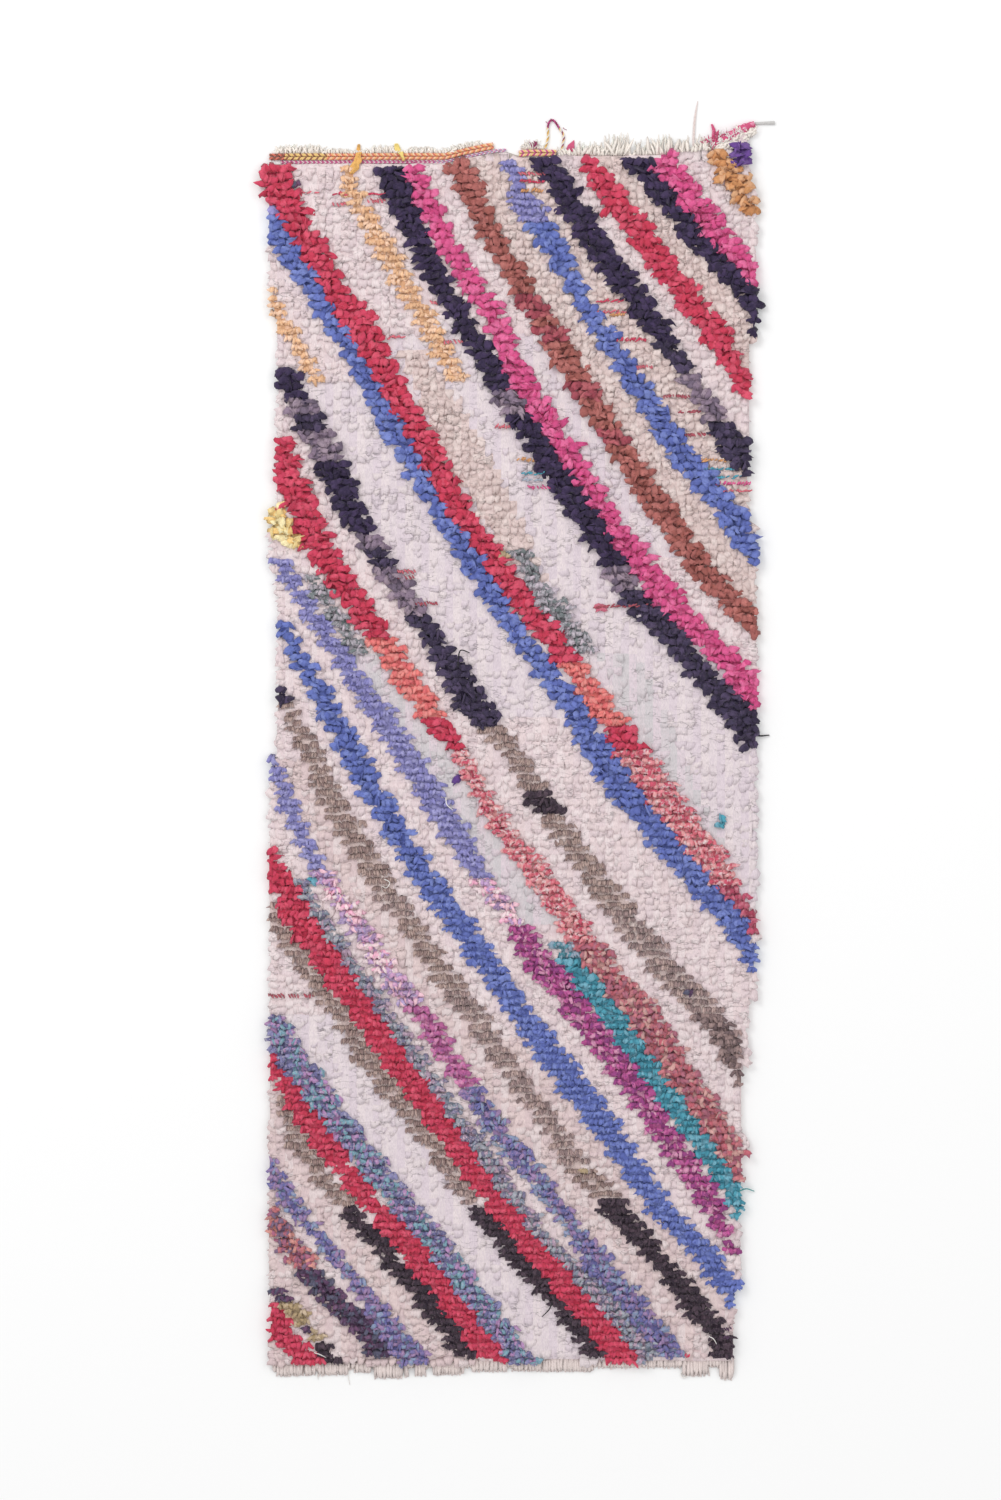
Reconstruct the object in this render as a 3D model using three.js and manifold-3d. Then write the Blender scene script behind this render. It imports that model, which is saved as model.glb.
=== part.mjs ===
// A boucherouite runner: rag and wool knots on a woven foundation, lying flat on the floor.
// Millimetres, +Z up, the head of the rug towards +Y.
// The origin is on the floor under the middle of the rug, its tails and fringes included.

import * as THREE from "three";
import * as BufferGeometryUtils from "three/addons/utils/BufferGeometryUtils.js";
import Module from "manifold-3d";

const manifold = await Module();
manifold.setup();

// Driving dimensions
const knotPitch = 14.4; // a knot is as wide as a pile row is tall
const firstRow = 1054; // y of pile row 0
const firstKnot = -460; // x of knot 0
const footLine = -1116; // y where the pile ends
const groundPile = 12.5; // height of the pale ground pile
const rimPile = 8.5; // height of the pile where it rolls over the edges
const lump = 1.8; // how far the pile stands above or below its height
const fieldColumns = 42;
const fieldRows = 88;
const edgeReach = 6; // how fast the head's and foot's own lines fade into the rug
const lockReach = [6, 14]; // shortest and longest lock past a selvedge
const lockHeight = 5.5; // height of a lock's tip
const lockDroop = 5; // how far a lock's tip hangs towards the foot
const baseInset = 2; // how far the foundation stays inside the pile's rim
const gap = 0.35; // clear space between neighbouring pieces

const thickCord = { width: 12.6, height: 8, pitch: 11, rib: 0.13, sides: 6 };
const thinCord = { width: 6, height: 5, pitch: 10, rib: 0.14, sides: 5 };
const stripWidth = 3.6; // width of the strip that holds the roots of a fringe
const stripHeight = 3;

// Selvedges: how far out the foundation lies at heights on the rug
const leftSelvedge = [
  { y: 1050, x: -453 },
  { y: 888, x: -449 },
  { y: 726, x: -433 },
  { y: 546, x: -429 },
  { y: 343, x: -442 },
  { y: 240, x: -428 },
  { y: 114, x: -429 },
  { y: -30, x: -437 },
  { y: -219, x: -449 },
  { y: -372, x: -445 },
  { y: -750, x: -447 },
  { y: -937, x: -449 },
  { y: -1119, x: -438 },
];
const rightSelvedge = [
  { y: 1068, x: 415 },
  { y: 951, x: 426 },
  { y: 762, x: 431 },
  { y: 717, x: 418 },
  { y: 528, x: 418 },
  { y: 438, x: 411 },
  { y: 357, x: 431 },
  { y: 258, x: 426 },
  { y: 96, x: 433 },
  { y: -192, x: 422 },
  { y: -327, x: 431 },
  { y: -433, x: 424 },
  { y: -516, x: 411 },
  { y: -629, x: 404 },
  { y: -739, x: 408 },
  { y: -858, x: 397 },
  { y: -1119, x: 388 },
];

// Head of the pile, from the left selvedge to the flap at the right corner
const headLine = [
  { x: -460, y: 1044 },
  { x: -130, y: 1045 },
  { x: -98, y: 1053 },
  { x: -66, y: 1060 },
  { x: -37, y: 1065 },
  { x: -19, y: 1066 },
  { x: 1, y: 1056 },
  { x: 60, y: 1056 },
  { x: 100, y: 1059 },
  { x: 238, y: 1059 },
  { x: 310, y: 1063 },
  { x: 355, y: 1070 },
  { x: 391, y: 1074 },
  { x: 401, y: 1093 },
  { x: 422, y: 1103 },
];
const footEdge = [
  { x: -440, y: -1122 },
  { x: -300, y: -1116 },
  { x: -60, y: -1113 },
  { x: 120, y: -1114 },
  { x: 390, y: -1112 },
];

// Diagonal stripes of longer pile: how far they rise over the ground, their width in knots,
// and the knot where their middle lies at chosen pile rows
const stripes = [
  { name: "red_main", rise: 6, knots: 3.7, at: [[0, 2], [23, 13.5], [48, 27.5], [70, 43], [97, 62.5]] },
  { name: "blue_main", rise: 6, knots: 3.3, at: [[7, 1.5], [31, 14.5], [55, 29], [77, 43.5], [102, 62]] },
  { name: "ochre_head", rise: 4, knots: 2.8, at: [[1, 10.5], [13, 16.5], [28, 25]] },
  { name: "navy_head", rise: 6, knots: 3.2, at: [[1, 15.5], [20, 26], [40, 36.5], [57, 48.5], [74, 61.5]] },
  { name: "pink_head", rise: 6, knots: 3.4, at: [[1, 18.5], [23, 30.5], [40, 40.5], [58, 53.5], [69, 62]] },
  { name: "brown", rise: 6, knots: 3.6, at: [[1, 25], [24, 37.5], [42, 48.5], [60, 62]] },
  { name: "lilac_head", rise: 5, knots: 3.3, at: [[-1, 31], [7, 33.5], [27, 46], [51, 62]] },
  { name: "black_head", rise: 6, knots: 3.4, at: [[1, 35.5], [18, 47], [30, 55], [40, 61.5]] },
  { name: "red_head", rise: 6, knots: 3.8, at: [[0, 40.5], [14, 50.5], [31, 61.5]] },
  { name: "black_corner", rise: 6, knots: 3.4, at: [[0, 46.5], [10, 54.5], [21, 62]] },
  { name: "pink_corner", rise: 6, knots: 3.6, at: [[0, 50], [9, 57], [17, 61]] },
  { name: "orange_corner", rise: 6, knots: 3.2, at: [[0, 57.5], [7, 61.5]] },
  { name: "ochre_side", rise: 4, knots: 2.3, at: [[16, 1], [28, 7]] },
  { name: "taupe_long", rise: 4, knots: 3.4, at: [[25, 2], [45, 12], [68, 27], [90, 43], [108, 59.5]] },
  { name: "red_coral", rise: 5, knots: 3.7, at: [[35, 2.5], [60, 15], [80, 28], [103, 43.5], [127, 60.5]] },
  { name: "lilac_long", rise: 5, knots: 3.7, at: [[50, 2], [70, 15.5], [90, 28], [113, 45], [136, 59.5]] },
  { name: "green_grey", rise: 3, knots: 2.6, at: [[52, 6], [61, 12]] },
  { name: "green_grey_middle", rise: 3, knots: 3, at: [[49, 32], [62, 40.5]] },
  { name: "teal_right", rise: 5, knots: 3.8, at: [[98, 37], [117, 51.5], [132, 60]] },
  { name: "blue_low", rise: 6, knots: 3.8, at: [[58, 2.5], [78, 13.5], [99, 26.5], [122, 43.5], [143, 59.5]] },
  { name: "taupe_low", rise: 4, knots: 3.2, at: [[66, 2], [90, 15], [110, 28.5], [130, 43], [150, 57.5]] },
  { name: "violet_low", rise: 4, knots: 3, at: [[75, 1.5], [95, 12], [116, 25.5], [134, 39.5], [149, 51]] },
  { name: "teal_low", rise: 3, knots: 2.6, at: [[90, 4.5], [112, 19], [130, 31.5], [150, 49.5]] },
  { name: "red_low", rise: 6, knots: 3.6, at: [[86, 1], [104, 11], [124, 24.5], [150, 45]] },
  { name: "wool_low", rise: 4, knots: 2.8, at: [[93, 1], [112, 13.5], [131, 26.5], [149, 41.5]] },
  { name: "slate_foot", rise: 4, knots: 3.8, at: [[107, 1.5], [126, 13], [149, 32]] },
  { name: "red_foot", rise: 6, knots: 3.6, at: [[111, 1], [130, 13], [149, 28.5]] },
  { name: "wool_foot", rise: 4, knots: 2.6, at: [[117, 2], [131, 11], [149, 25.5]] },
  { name: "violet_foot", rise: 4, knots: 2.8, at: [[125, 1], [136, 8], [149, 18.5]] },
  { name: "rust_foot", rise: 4, knots: 3.4, at: [[131, 1.5], [149, 15]] },
  { name: "olive_corner", rise: 3, knots: 3, at: [[141, 1.5], [150, 9]] },
  { name: "red_corner", rise: 6, knots: 3.6, at: [[143, 1], [150, 6]] },
];

// Fringes: from where to where the strands stand, how many, and how far their tips reach
const warpEndsLeft = [
  { from: -430, to: -352, strands: 7, reach: 14 },
  { from: -346, to: -306, strands: 3, reach: 7 },
  { from: -262, to: -222, strands: 4, reach: 13 },
  { from: -196, to: -150, strands: 3, reach: 10 },
  { from: -128, to: -70, strands: 4, reach: 8 },
];
const warpEndsMiddle = [{ from: 13, to: 40, strands: 4, reach: 15 }];
const warpFringeRight = [
  { from: 108, to: 152, strands: 5, reach: 23 },
  { from: 160, to: 206, strands: 5, reach: 36 },
  { from: 214, to: 226, strands: 2, reach: 27 },
  { from: 234, to: 280, strands: 5, reach: 34 },
  { from: 288, to: 308, strands: 3, reach: 28 },
  { from: 322, to: 338, strands: 3, reach: 28 },
];
const longWarpEnd = { root: 317, reach: 94, lean: 8, width: 5.6 };
const warpFringeFoot = [
  { from: -432, to: -364, strands: 9, reach: 18 },
  { from: -357, to: -306, strands: 6, reach: 20 },
  { from: -294, to: -266, strands: 4, reach: 17 },
  { from: -258, to: -200, strands: 7, reach: 28 },
  { from: -184, to: -167, strands: 3, reach: 24 },
  { from: -150, to: -98, strands: 6, reach: 23 },
  { from: -82, to: -20, strands: 7, reach: 18 },
  { from: -8, to: 132, strands: 12, reach: 17 },
  { from: 302, to: 344, strands: 5, reach: 26 },
  { from: 366, to: 388, strands: 3, reach: 33 },
];

// Small pieces: points on the floor, x and y
const loopRoute = [
  [50, 1071.8],
  [55, 1092],
  [55, 1112],
  [59, 1122],
  [66, 1122],
  [77, 1106],
  [83, 1096],
  [82, 1082],
  [78, 1062],
];
const loopYarn = { width: 5, height: 5, pitch: 9, rib: 0.08, sides: 6 };
const tailRoute = [[350, 1077], [366, 1086], [384, 1095], [404, 1106], [427, 1117]];
const tailWidths = [11, 15, 16, 17, 10];
const nubRoute = [[356, 1086], [352, 1102], [350, 1117]];
const nubWidths = [7, 6, 6];
const tailEndRoute = [[427.8, 1117.4], [446, 1118], [463.5, 1118.5]];
const tailEndWidths = [5, 5.5, 7];
const ragTie = { middle: -289, width: 18, thick: 1.6, tip: 1081, end: 1034 };
const smallRagTie = { middle: -211, width: 14, thick: 1.6, tip: 1080, end: 1048 };
const ragTip = { corners: [[90, 1063.2], [85, 1073], [102, 1087], [102, 1063.2]], thick: 2.4 };

const paint = (color, roughness = 0.95) => new THREE.MeshStandardMaterial({ color, roughness, metalness: 0 });

// A number from 0 to 1 that is always the same for the same two numbers
function chance(a, b) {
  const wave = Math.sin(a * 12.9898 + b * 78.233) * 43758.5453;
  return wave - Math.floor(wave);
}

// Reads a table between its rows
function between(table, at, key, value) {
  const forward = table[0][key] < table[table.length - 1][key];
  const rows = forward ? table : [...table].reverse();
  let last = 1;
  while (last < rows.length - 1 && rows[last][key] < at) last += 1;
  const [low, high] = [rows[last - 1], rows[last]];
  const share = THREE.MathUtils.clamp((at - low[key]) / (high[key] - low[key]), 0, 1);
  return THREE.MathUtils.lerp(low[value], high[value], share);
}

// A closed geometry from points and triangles, turned so that its faces point out
function closedGeometry(points, triangles) {
  const corner = new THREE.Vector3();
  let volume = 0;
  for (const [a, b, c] of triangles) volume += points[a].dot(corner.crossVectors(points[b], points[c]));
  const order = volume > 0 ? triangles : triangles.map(([a, b, c]) => [a, c, b]);
  const geometry = new THREE.BufferGeometry().setFromPoints(points);
  geometry.setIndex(order.flat());
  return geometry;
}

// A closed geometry through rings of equal size, with a flat cap at each end
function loft(rings) {
  const sides = rings[0].length;
  const triangles = [];
  for (let k = 0; k < rings.length - 1; k += 1) {
    for (let side = 0; side < sides; side += 1) {
      const a = k * sides + side;
      const b = k * sides + ((side + 1) % sides);
      triangles.push([a, b, b + sides], [a, b + sides, a + sides]);
    }
  }
  const end = (rings.length - 1) * sides;
  for (let side = 1; side < sides - 1; side += 1) {
    triangles.push([0, side + 1, side], [end, end + side, end + side + 1]);
  }
  return closedGeometry(rings.flat(), triangles);
}

// A cord's section, 1 wide and 1 high, standing on a flat side
function section(sides) {
  const turns = Array.from({ length: sides }, (_, side) => (2 * Math.PI * (side + 0.5)) / sides - Math.PI / 2);
  const reach = Math.max(...turns.map(Math.cos));
  const low = Math.min(...turns.map(Math.sin));
  const tall = Math.max(...turns.map(Math.sin)) - low;
  return turns.map((turn) => ({ out: Math.cos(turn) / reach / 2, up: (Math.sin(turn) - low) / tall }));
}

// Rings of a cord that lies on the floor along a route, flat where it touches
function cordRings(curve, steps, sides, sizeAt) {
  const rings = [];
  const corners = section(sides);
  for (let k = 0; k <= steps; k += 1) {
    const place = curve.getPointAt(k / steps);
    const along = curve.getTangentAt(k / steps);
    const across = new THREE.Vector3(-along.y, along.x, 0).normalize();
    const { width, height } = sizeAt(k / steps);
    const corner = ({ out, up }) => place.clone().addScaledVector(across, out * width).setZ(up * height);
    rings.push(corners.map(corner));
  }
  return rings;
}

function floorCurve(route) {
  return new THREE.CatmullRomCurve3(route.map(([x, y]) => new THREE.Vector3(x, y, 0)));
}

// A twined cord: its ribs swell and shrink along the route
function twinedCord(route, { width, height, pitch, rib, sides }) {
  const curve = floorCurve(route);
  const steps = Math.round((2 * curve.getLength()) / pitch);
  return loft(
    cordRings(curve, steps, sides, (share) => {
      const atEnd = share < 0.5 / steps || share > 1 - 0.5 / steps;
      const swell = Math.round(share * steps) % 2 ? 1 : 1 - rib;
      const size = atEnd ? 0.6 : swell;
      return { width: width * size, height: height * size };
    }),
  );
}

// A soft tail whose width follows a short list along its route
function softTail(route, widths, sides, steps, flatness) {
  return loft(
    cordRings(floorCurve(route), steps, sides, (share) => {
      const at = share * (widths.length - 1);
      const low = Math.min(Math.floor(at), widths.length - 2);
      const width = THREE.MathUtils.lerp(widths[low], widths[low + 1], at - low);
      const lumpy = 1 + 0.06 * Math.sin(share * steps * 2.4);
      const size = share === 0 || share === 1 ? 0.6 : lumpy;
      return { width: width * size, height: width * size * flatness };
    }),
  );
}

const xOfKnot = (knot) => firstKnot + knot * knotPitch;
const yOfRow = (row) => firstRow - row * knotPitch;

// How far the stripes lift the pile at a place
function stripeRise(x, y) {
  let rise = 0;
  for (const stripe of stripes) {
    const route = stripe.at.map(([row, knot]) => ({ y: yOfRow(row), x: xOfKnot(knot) }));
    const reach = knotPitch / 2;
    if (y > route[0].y + reach || y < route[route.length - 1].y - reach) continue;
    const off = Math.abs(x - between(route, y, "y", "x"));
    const half = (stripe.knots * knotPitch) / 2;
    const share = THREE.MathUtils.smoothstep(half + reach - off, 0, 2 * reach);
    rise = Math.max(rise, stripe.rise * share);
  }
  return rise;
}

// Where a grid point of the pile lies on the floor plan
function fieldPlace(column, row) {
  const down = row / fieldRows;
  const nominal = THREE.MathUtils.lerp(firstRow, footLine, down);
  const left = between(leftSelvedge, nominal, "y", "x");
  const right = between(rightSelvedge, nominal, "y", "x");
  const x = THREE.MathUtils.lerp(left, right, column / fieldColumns);
  const atHead = (between(headLine, x, "x", "y") - firstRow) * (1 - down) ** edgeReach;
  const atFoot = (between(footEdge, x, "x", "y") - footLine) * down ** edgeReach;
  return { x, y: nominal + atHead + atFoot };
}

function fieldPoint(column, row) {
  const { x, y } = fieldPlace(column, row);
  const atRim = column === 0 || column === fieldColumns || row === 0 || row === fieldRows;
  const lumps = lump * (2 * chance(column, row) - 1);
  const height = atRim ? rimPile + lumps / 2 : groundPile + stripeRise(x, y) + lumps;
  return new THREE.Vector3(x, y, height);
}

// The head rim of the pile, which the heading cords follow
const headRim = Array.from({ length: fieldColumns + 1 }, (_, column) => fieldPlace(column, 0));
const headAt = (x) => between(headRim, x, "x", "y");

// The knotted pile: a lumpy slab with a flat underside and locks along both selvedges
function pileField() {
  const points = [];
  const triangles = [];
  const add = (point) => points.push(point) - 1;
  const quad = (a, b, c, d) => triangles.push([a, b, c], [a, c, d]);

  const top = [];
  for (let row = 0; row <= fieldRows; row += 1) {
    top.push([]);
    for (let column = 0; column <= fieldColumns; column += 1) top[row].push(add(fieldPoint(column, row)));
  }
  for (let row = 0; row < fieldRows; row += 1) {
    for (let column = 0; column < fieldColumns; column += 1) {
      const [a, b] = [top[row][column], top[row][column + 1]];
      const [c, d] = [top[row + 1][column + 1], top[row + 1][column]];
      if ((row + column) % 2) quad(a, d, c, b);
      else quad(d, c, b, a);
    }
  }

  // The rim, once round against the clock as seen from above
  const rim = [];
  for (let row = 0; row < fieldRows; row += 1) rim.push({ at: top[row][0], inward: 1 });
  for (let column = 0; column < fieldColumns; column += 1) rim.push({ at: top[fieldRows][column], inward: 0 });
  for (let row = fieldRows; row > 0; row -= 1) rim.push({ at: top[row][fieldColumns], inward: -1 });
  for (let column = fieldColumns; column > 0; column -= 1) rim.push({ at: top[0][column], inward: 0 });

  const base = rim.map(({ at, inward }) => {
    const foot = points[at].clone().setZ(0);
    foot.x += inward * baseInset;
    return add(foot);
  });
  rim.forEach(({ at, inward }, k) => {
    const next = (k + 1) % rim.length;
    const above = rim[next].at;
    if (!inward) {
      quad(base[k], base[next], above, at);
      return;
    }
    const tip = points[at].clone().lerp(points[above], 0.5);
    tip.x -= inward * THREE.MathUtils.lerp(...lockReach, chance(k, 3));
    tip.y -= lockDroop * (0.5 + chance(k, 5));
    tip.z = lockHeight * (0.7 + 0.6 * chance(k, 7));
    const apex = add(tip);
    const ring = [base[k], base[next], above, at];
    ring.forEach((corner, side) => triangles.push([corner, ring[(side + 1) % 4], apex]));
  });

  const outline = base.map((at) => new THREE.Vector2(points[at].x, points[at].y));
  for (const [a, b, c] of THREE.ShapeUtils.triangulateShape(outline, [])) {
    triangles.push([base[c], base[b], base[a]]);
  }
  return closedGeometry(points, triangles);
}

function toSolid(geometry) {
  const merged = BufferGeometryUtils.mergeVertices(geometry);
  return new manifold.Manifold(
    new manifold.Mesh({
      numProp: 3,
      vertProperties: new Float32Array(merged.attributes.position.array),
      triVerts: new Uint32Array(merged.index.array),
    }),
  );
}

function joined(geometries) {
  const { vertProperties, triVerts } = geometries.map(toSolid).reduce((sum, one) => sum.add(one)).getMesh();
  const geometry = new THREE.BufferGeometry();
  geometry.setAttribute("position", new THREE.BufferAttribute(new Float32Array(vertProperties), 3));
  geometry.setIndex(new THREE.BufferAttribute(new Uint32Array(triVerts), 1));
  return geometry;
}

// One strand of four sides, flat on the floor, from its root to a blunt tip
function strand(root, reach, lean, width, height) {
  const sections = [
    { at: 0, wide: width, tall: height },
    { at: 0.6, wide: width * 0.8, tall: height * 0.85 },
    { at: 1, wide: width * 0.25, tall: height * 0.3 },
  ];
  return loft(
    sections.map(({ at, wide, tall }) => {
      const x = root.x + lean * at ** 1.5;
      const y = root.y + reach * at;
      return [
        new THREE.Vector3(x - wide / 2, y, 0),
        new THREE.Vector3(x + wide / 2, y, 0),
        new THREE.Vector3(x + wide / 4, y, tall),
        new THREE.Vector3(x - wide / 4, y, tall),
      ];
    }),
  );
}

// A narrow strip that follows an edge and holds the roots of a fringe
function rootStrip(from, to, edge, outward) {
  const steps = Math.max(2, Math.round((to - from) / 14));
  const rings = [];
  for (let k = 0; k <= steps; k += 1) {
    const x = THREE.MathUtils.lerp(from, to, k / steps);
    const inner = edge(x);
    const outer = inner + outward * stripWidth;
    rings.push([
      new THREE.Vector3(x, inner, 0),
      new THREE.Vector3(x, outer, 0),
      new THREE.Vector3(x, outer, stripHeight),
      new THREE.Vector3(x, inner, stripHeight),
    ]);
  }
  return loft(rings);
}

// A fringe: strands spread over the table's groups, with their roots in one strip
function fringe({ groups, span, edge, outward, width, seed, extra = [] }) {
  const pieces = [rootStrip(...span, edge, outward)];
  groups.forEach((group, g) => {
    for (let k = 0; k < group.strands; k += 1) {
      const share = group.strands > 1 ? k / (group.strands - 1) : 0.5;
      const x = THREE.MathUtils.lerp(group.from, group.to, share);
      const root = { x, y: edge(x) + (outward * stripWidth) / 2 };
      const reach = outward * group.reach * (0.8 + 0.3 * chance(g + seed, k));
      const lean = 5 * (chance(k, g + seed) - 0.5);
      pieces.push(strand(root, reach, lean, width * (0.8 + 0.3 * chance(g, k + seed)), stripHeight * 1.2));
    }
  });
  return joined([...pieces, ...extra]);
}

// A rag strip laid over the heading: its path seen from the side, then its width
function draped(path, middle, width, thick) {
  const rings = path.map(({ y, z }, k) => {
    const splay = 1 + 0.12 * Math.sin(k * 2.1);
    const half = (width / 2) * splay;
    return [
      new THREE.Vector3(middle - half, y, z),
      new THREE.Vector3(middle + half, y, z),
      new THREE.Vector3(middle + half, y, z + thick),
      new THREE.Vector3(middle - half, y, z + thick),
    ];
  });
  return loft(rings);
}

const routeOver = (from, to, lift, step = 12) => {
  const count = Math.round((to - from) / step);
  return Array.from({ length: count + 1 }, (_, k) => {
    const x = THREE.MathUtils.lerp(from, to, k / count);
    return [x, headAt(x) + lift];
  });
};

// Heights above the pile's head rim at which the heading's pieces lie
const thinLift = gap + thinCord.width / 2;
const thickLift = gap + thinCord.width + gap + thickCord.width / 2;
const stripLift = thickLift + thickCord.width / 2 + gap;

function tieOver({ middle, width, thick, tip, end }) {
  const head = headAt(middle);
  const cordY = head + thickLift;
  const half = thickCord.width / 2;
  const over = thickCord.height + gap;
  const overStrip = stripHeight * 1.2 + gap;
  const path = [
    { y: tip, z: overStrip - 1 },
    { y: cordY + half + stripWidth + gap, z: overStrip },
    { y: cordY + half, z: over },
    { y: cordY - half, z: over },
  ];
  if (end < head) {
    path.push({ y: head, z: rimPile + lump / 2 + gap });
    path.push({ y: end, z: rimPile + 2 * lump + gap });
  } else {
    path.push({ y: end, z: thinCord.height + gap });
  }
  return draped(path, middle, width, thick);
}

function ragPoint({ corners, thick }) {
  const shape = new THREE.Shape(corners.map(([x, y]) => new THREE.Vector2(x, y)));
  const geometry = new THREE.ExtrudeGeometry(shape, { depth: thick, bevelEnabled: false });
  geometry.deleteAttribute("normal");
  geometry.deleteAttribute("uv");
  return BufferGeometryUtils.mergeVertices(geometry);
}

const group = new THREE.Group();
group.name = "boucherouite_rug";

function place(name, geometry, material) {
  const mesh = new THREE.Mesh(geometry, material);
  mesh.name = name;
  group.add(mesh);
}

const shortCord = { ...thickCord, width: thickCord.width * 1.1 };
const shortRoute = [[3, 1062.5], [20, 1064], [45, 1064], [70, 1063.5]];
const footStrip = (x) => between(footEdge, x, "x", "y") - gap;
const headStrip = (x) => headAt(x) + stripLift;
const middleStrip = () => 1071.2;
const rightStrip = (x) => headAt(x) + gap;
const longEnd = strand(
  { x: longWarpEnd.root, y: rightStrip(longWarpEnd.root) + stripWidth / 2 },
  longWarpEnd.reach,
  longWarpEnd.lean,
  longWarpEnd.width,
  stripHeight * 1.3,
);
const fringes = {
  warp_ends_left: { groups: warpEndsLeft, span: [-437, -63], edge: headStrip, outward: 1, width: 7, seed: 1 },
  warp_ends_middle: { groups: warpEndsMiddle, span: [6, 47], edge: middleStrip, outward: 1, width: 7, seed: 2 },
  warp_fringe_right: {
    groups: warpFringeRight,
    span: [72, 366],
    edge: rightStrip,
    outward: 1,
    width: 9.5,
    seed: 3,
    extra: [longEnd],
  },
  warp_fringe_foot: { groups: warpFringeFoot, span: [-437, 388], edge: footStrip, outward: -1, width: 9.5, seed: 4 },
};

place("pile_field", pileField(), paint(0xe2d8d4));
place("heading_cord_pink", twinedCord(routeOver(-427, -19, thinLift), thinCord), paint(0xcf7fa8));
place("heading_cord_orange", twinedCord(routeOver(-448, -42, thickLift), thickCord), paint(0xd98a55));
place("heading_cord_short", twinedCord(shortRoute, shortCord), paint(0xdba062));
for (const [name, recipe] of Object.entries(fringes)) place(name, fringe(recipe), paint(0xd6ccc4));
place("yarn_loop", twinedCord(loopRoute, loopYarn), paint(0xb9905e));
const tail = softTail(tailRoute, tailWidths, 8, 14, 0.8);
const nub = softTail(nubRoute, nubWidths, 5, 5, 0.8);
place("corner_tail", joined([tail, nub]), paint(0xc94f7c));
place("corner_tail_end", softTail(tailEndRoute, tailEndWidths, 6, 6, 0.8), paint(0xc9c6c2));
place("rag_tie", tieOver(ragTie), paint(0xdfb45c));
place("rag_tie_small", tieOver(smallRagTie), paint(0xe3bd6a));
place("rag_tip", ragPoint(ragTip), paint(0xc6587a));

export default group;
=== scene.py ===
# A boucherouite runner: rag and wool knots on a woven foundation, lying flat on a pale floor.
# Metres, +Z up, the head of the rug towards +Y, seen from straight above.
# Tables of places are in millimetres, or in pile rows and knots, as their headings say.

import math
from collections import namedtuple
from functools import cache

import bmesh
import bpy
import numpy as np
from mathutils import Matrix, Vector


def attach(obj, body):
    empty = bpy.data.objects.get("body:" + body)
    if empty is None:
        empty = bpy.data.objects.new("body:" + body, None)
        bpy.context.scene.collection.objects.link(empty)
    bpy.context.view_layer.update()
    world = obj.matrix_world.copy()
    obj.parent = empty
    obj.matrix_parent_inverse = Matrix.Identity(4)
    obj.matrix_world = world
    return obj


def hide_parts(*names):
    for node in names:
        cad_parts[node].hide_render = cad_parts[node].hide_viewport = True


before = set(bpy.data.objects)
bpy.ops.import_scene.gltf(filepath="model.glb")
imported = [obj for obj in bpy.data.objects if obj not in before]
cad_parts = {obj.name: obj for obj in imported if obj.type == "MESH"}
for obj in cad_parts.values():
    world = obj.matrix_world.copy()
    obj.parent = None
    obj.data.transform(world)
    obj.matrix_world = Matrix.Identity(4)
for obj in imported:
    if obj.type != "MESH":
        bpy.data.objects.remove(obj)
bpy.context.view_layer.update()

# Driving dimensions
MM = 0.001
KNOT = 14.4  # mm, the width of a knot and the height of a pile row
FIRST_ROW = 1054.0  # mm, y of the top of pile row 0
FIRST_KNOT = -461.5  # mm, x of the left side of knot 0
FOOT_LINE = -1116.0  # mm, y where the pile ends
HEAD_ROWS = 2  # rows above row 0, at the raised right corner
CLOTH_THICKNESS = 2.6  # mm, the woven foundation
BED = 8.0  # mm, the height of the knots' own collars
END_HEIGHT = 5.0  # mm, the ground's height at the very head and foot
TUFT_ROOT = 3.4  # mm, where a tuft comes out of the foundation
TALLEST = 27.0  # mm, no tuft stands higher
PEAK = 0.62  # share of a tuft's length where it is highest
THIN_CORD = 6.0  # mm, width of the pink twining
THICK_CORD = 12.6  # mm, width of the orange twining
GAP = 0.35  # mm, clear space between neighbouring pieces
FRINGE_STRIP = 3.6  # mm, width of the strip that a fringe grows from

# The outline, y and x in mm down each selvedge, then x and y along the head and the foot
LEFT_SELVEDGE = [
    (1050, -453), (888, -449), (726, -433), (546, -429), (343, -442), (240, -428), (114, -429),
    (-30, -437), (-219, -449), (-372, -445), (-750, -447), (-937, -449), (-1119, -438),
]
RIGHT_SELVEDGE = [
    (1068, 415), (951, 426), (762, 431), (717, 418), (528, 418), (438, 411), (357, 431), (258, 426),
    (96, 433), (-192, 422), (-327, 431), (-433, 424), (-516, 411), (-629, 404), (-739, 408),
    (-858, 397), (-1119, 388),
]
HEAD_LINE = [
    (-460, 1044), (-130, 1045), (-98, 1053), (-66, 1060), (-37, 1065), (-19, 1066), (1, 1056),
    (60, 1056), (100, 1059), (238, 1059), (310, 1063), (355, 1070), (391, 1074), (401, 1093), (422, 1103),
]
FOOT_EDGE = [(-440, -1122), (-300, -1116), (-60, -1113), (120, -1114), (390, -1112)]

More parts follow.
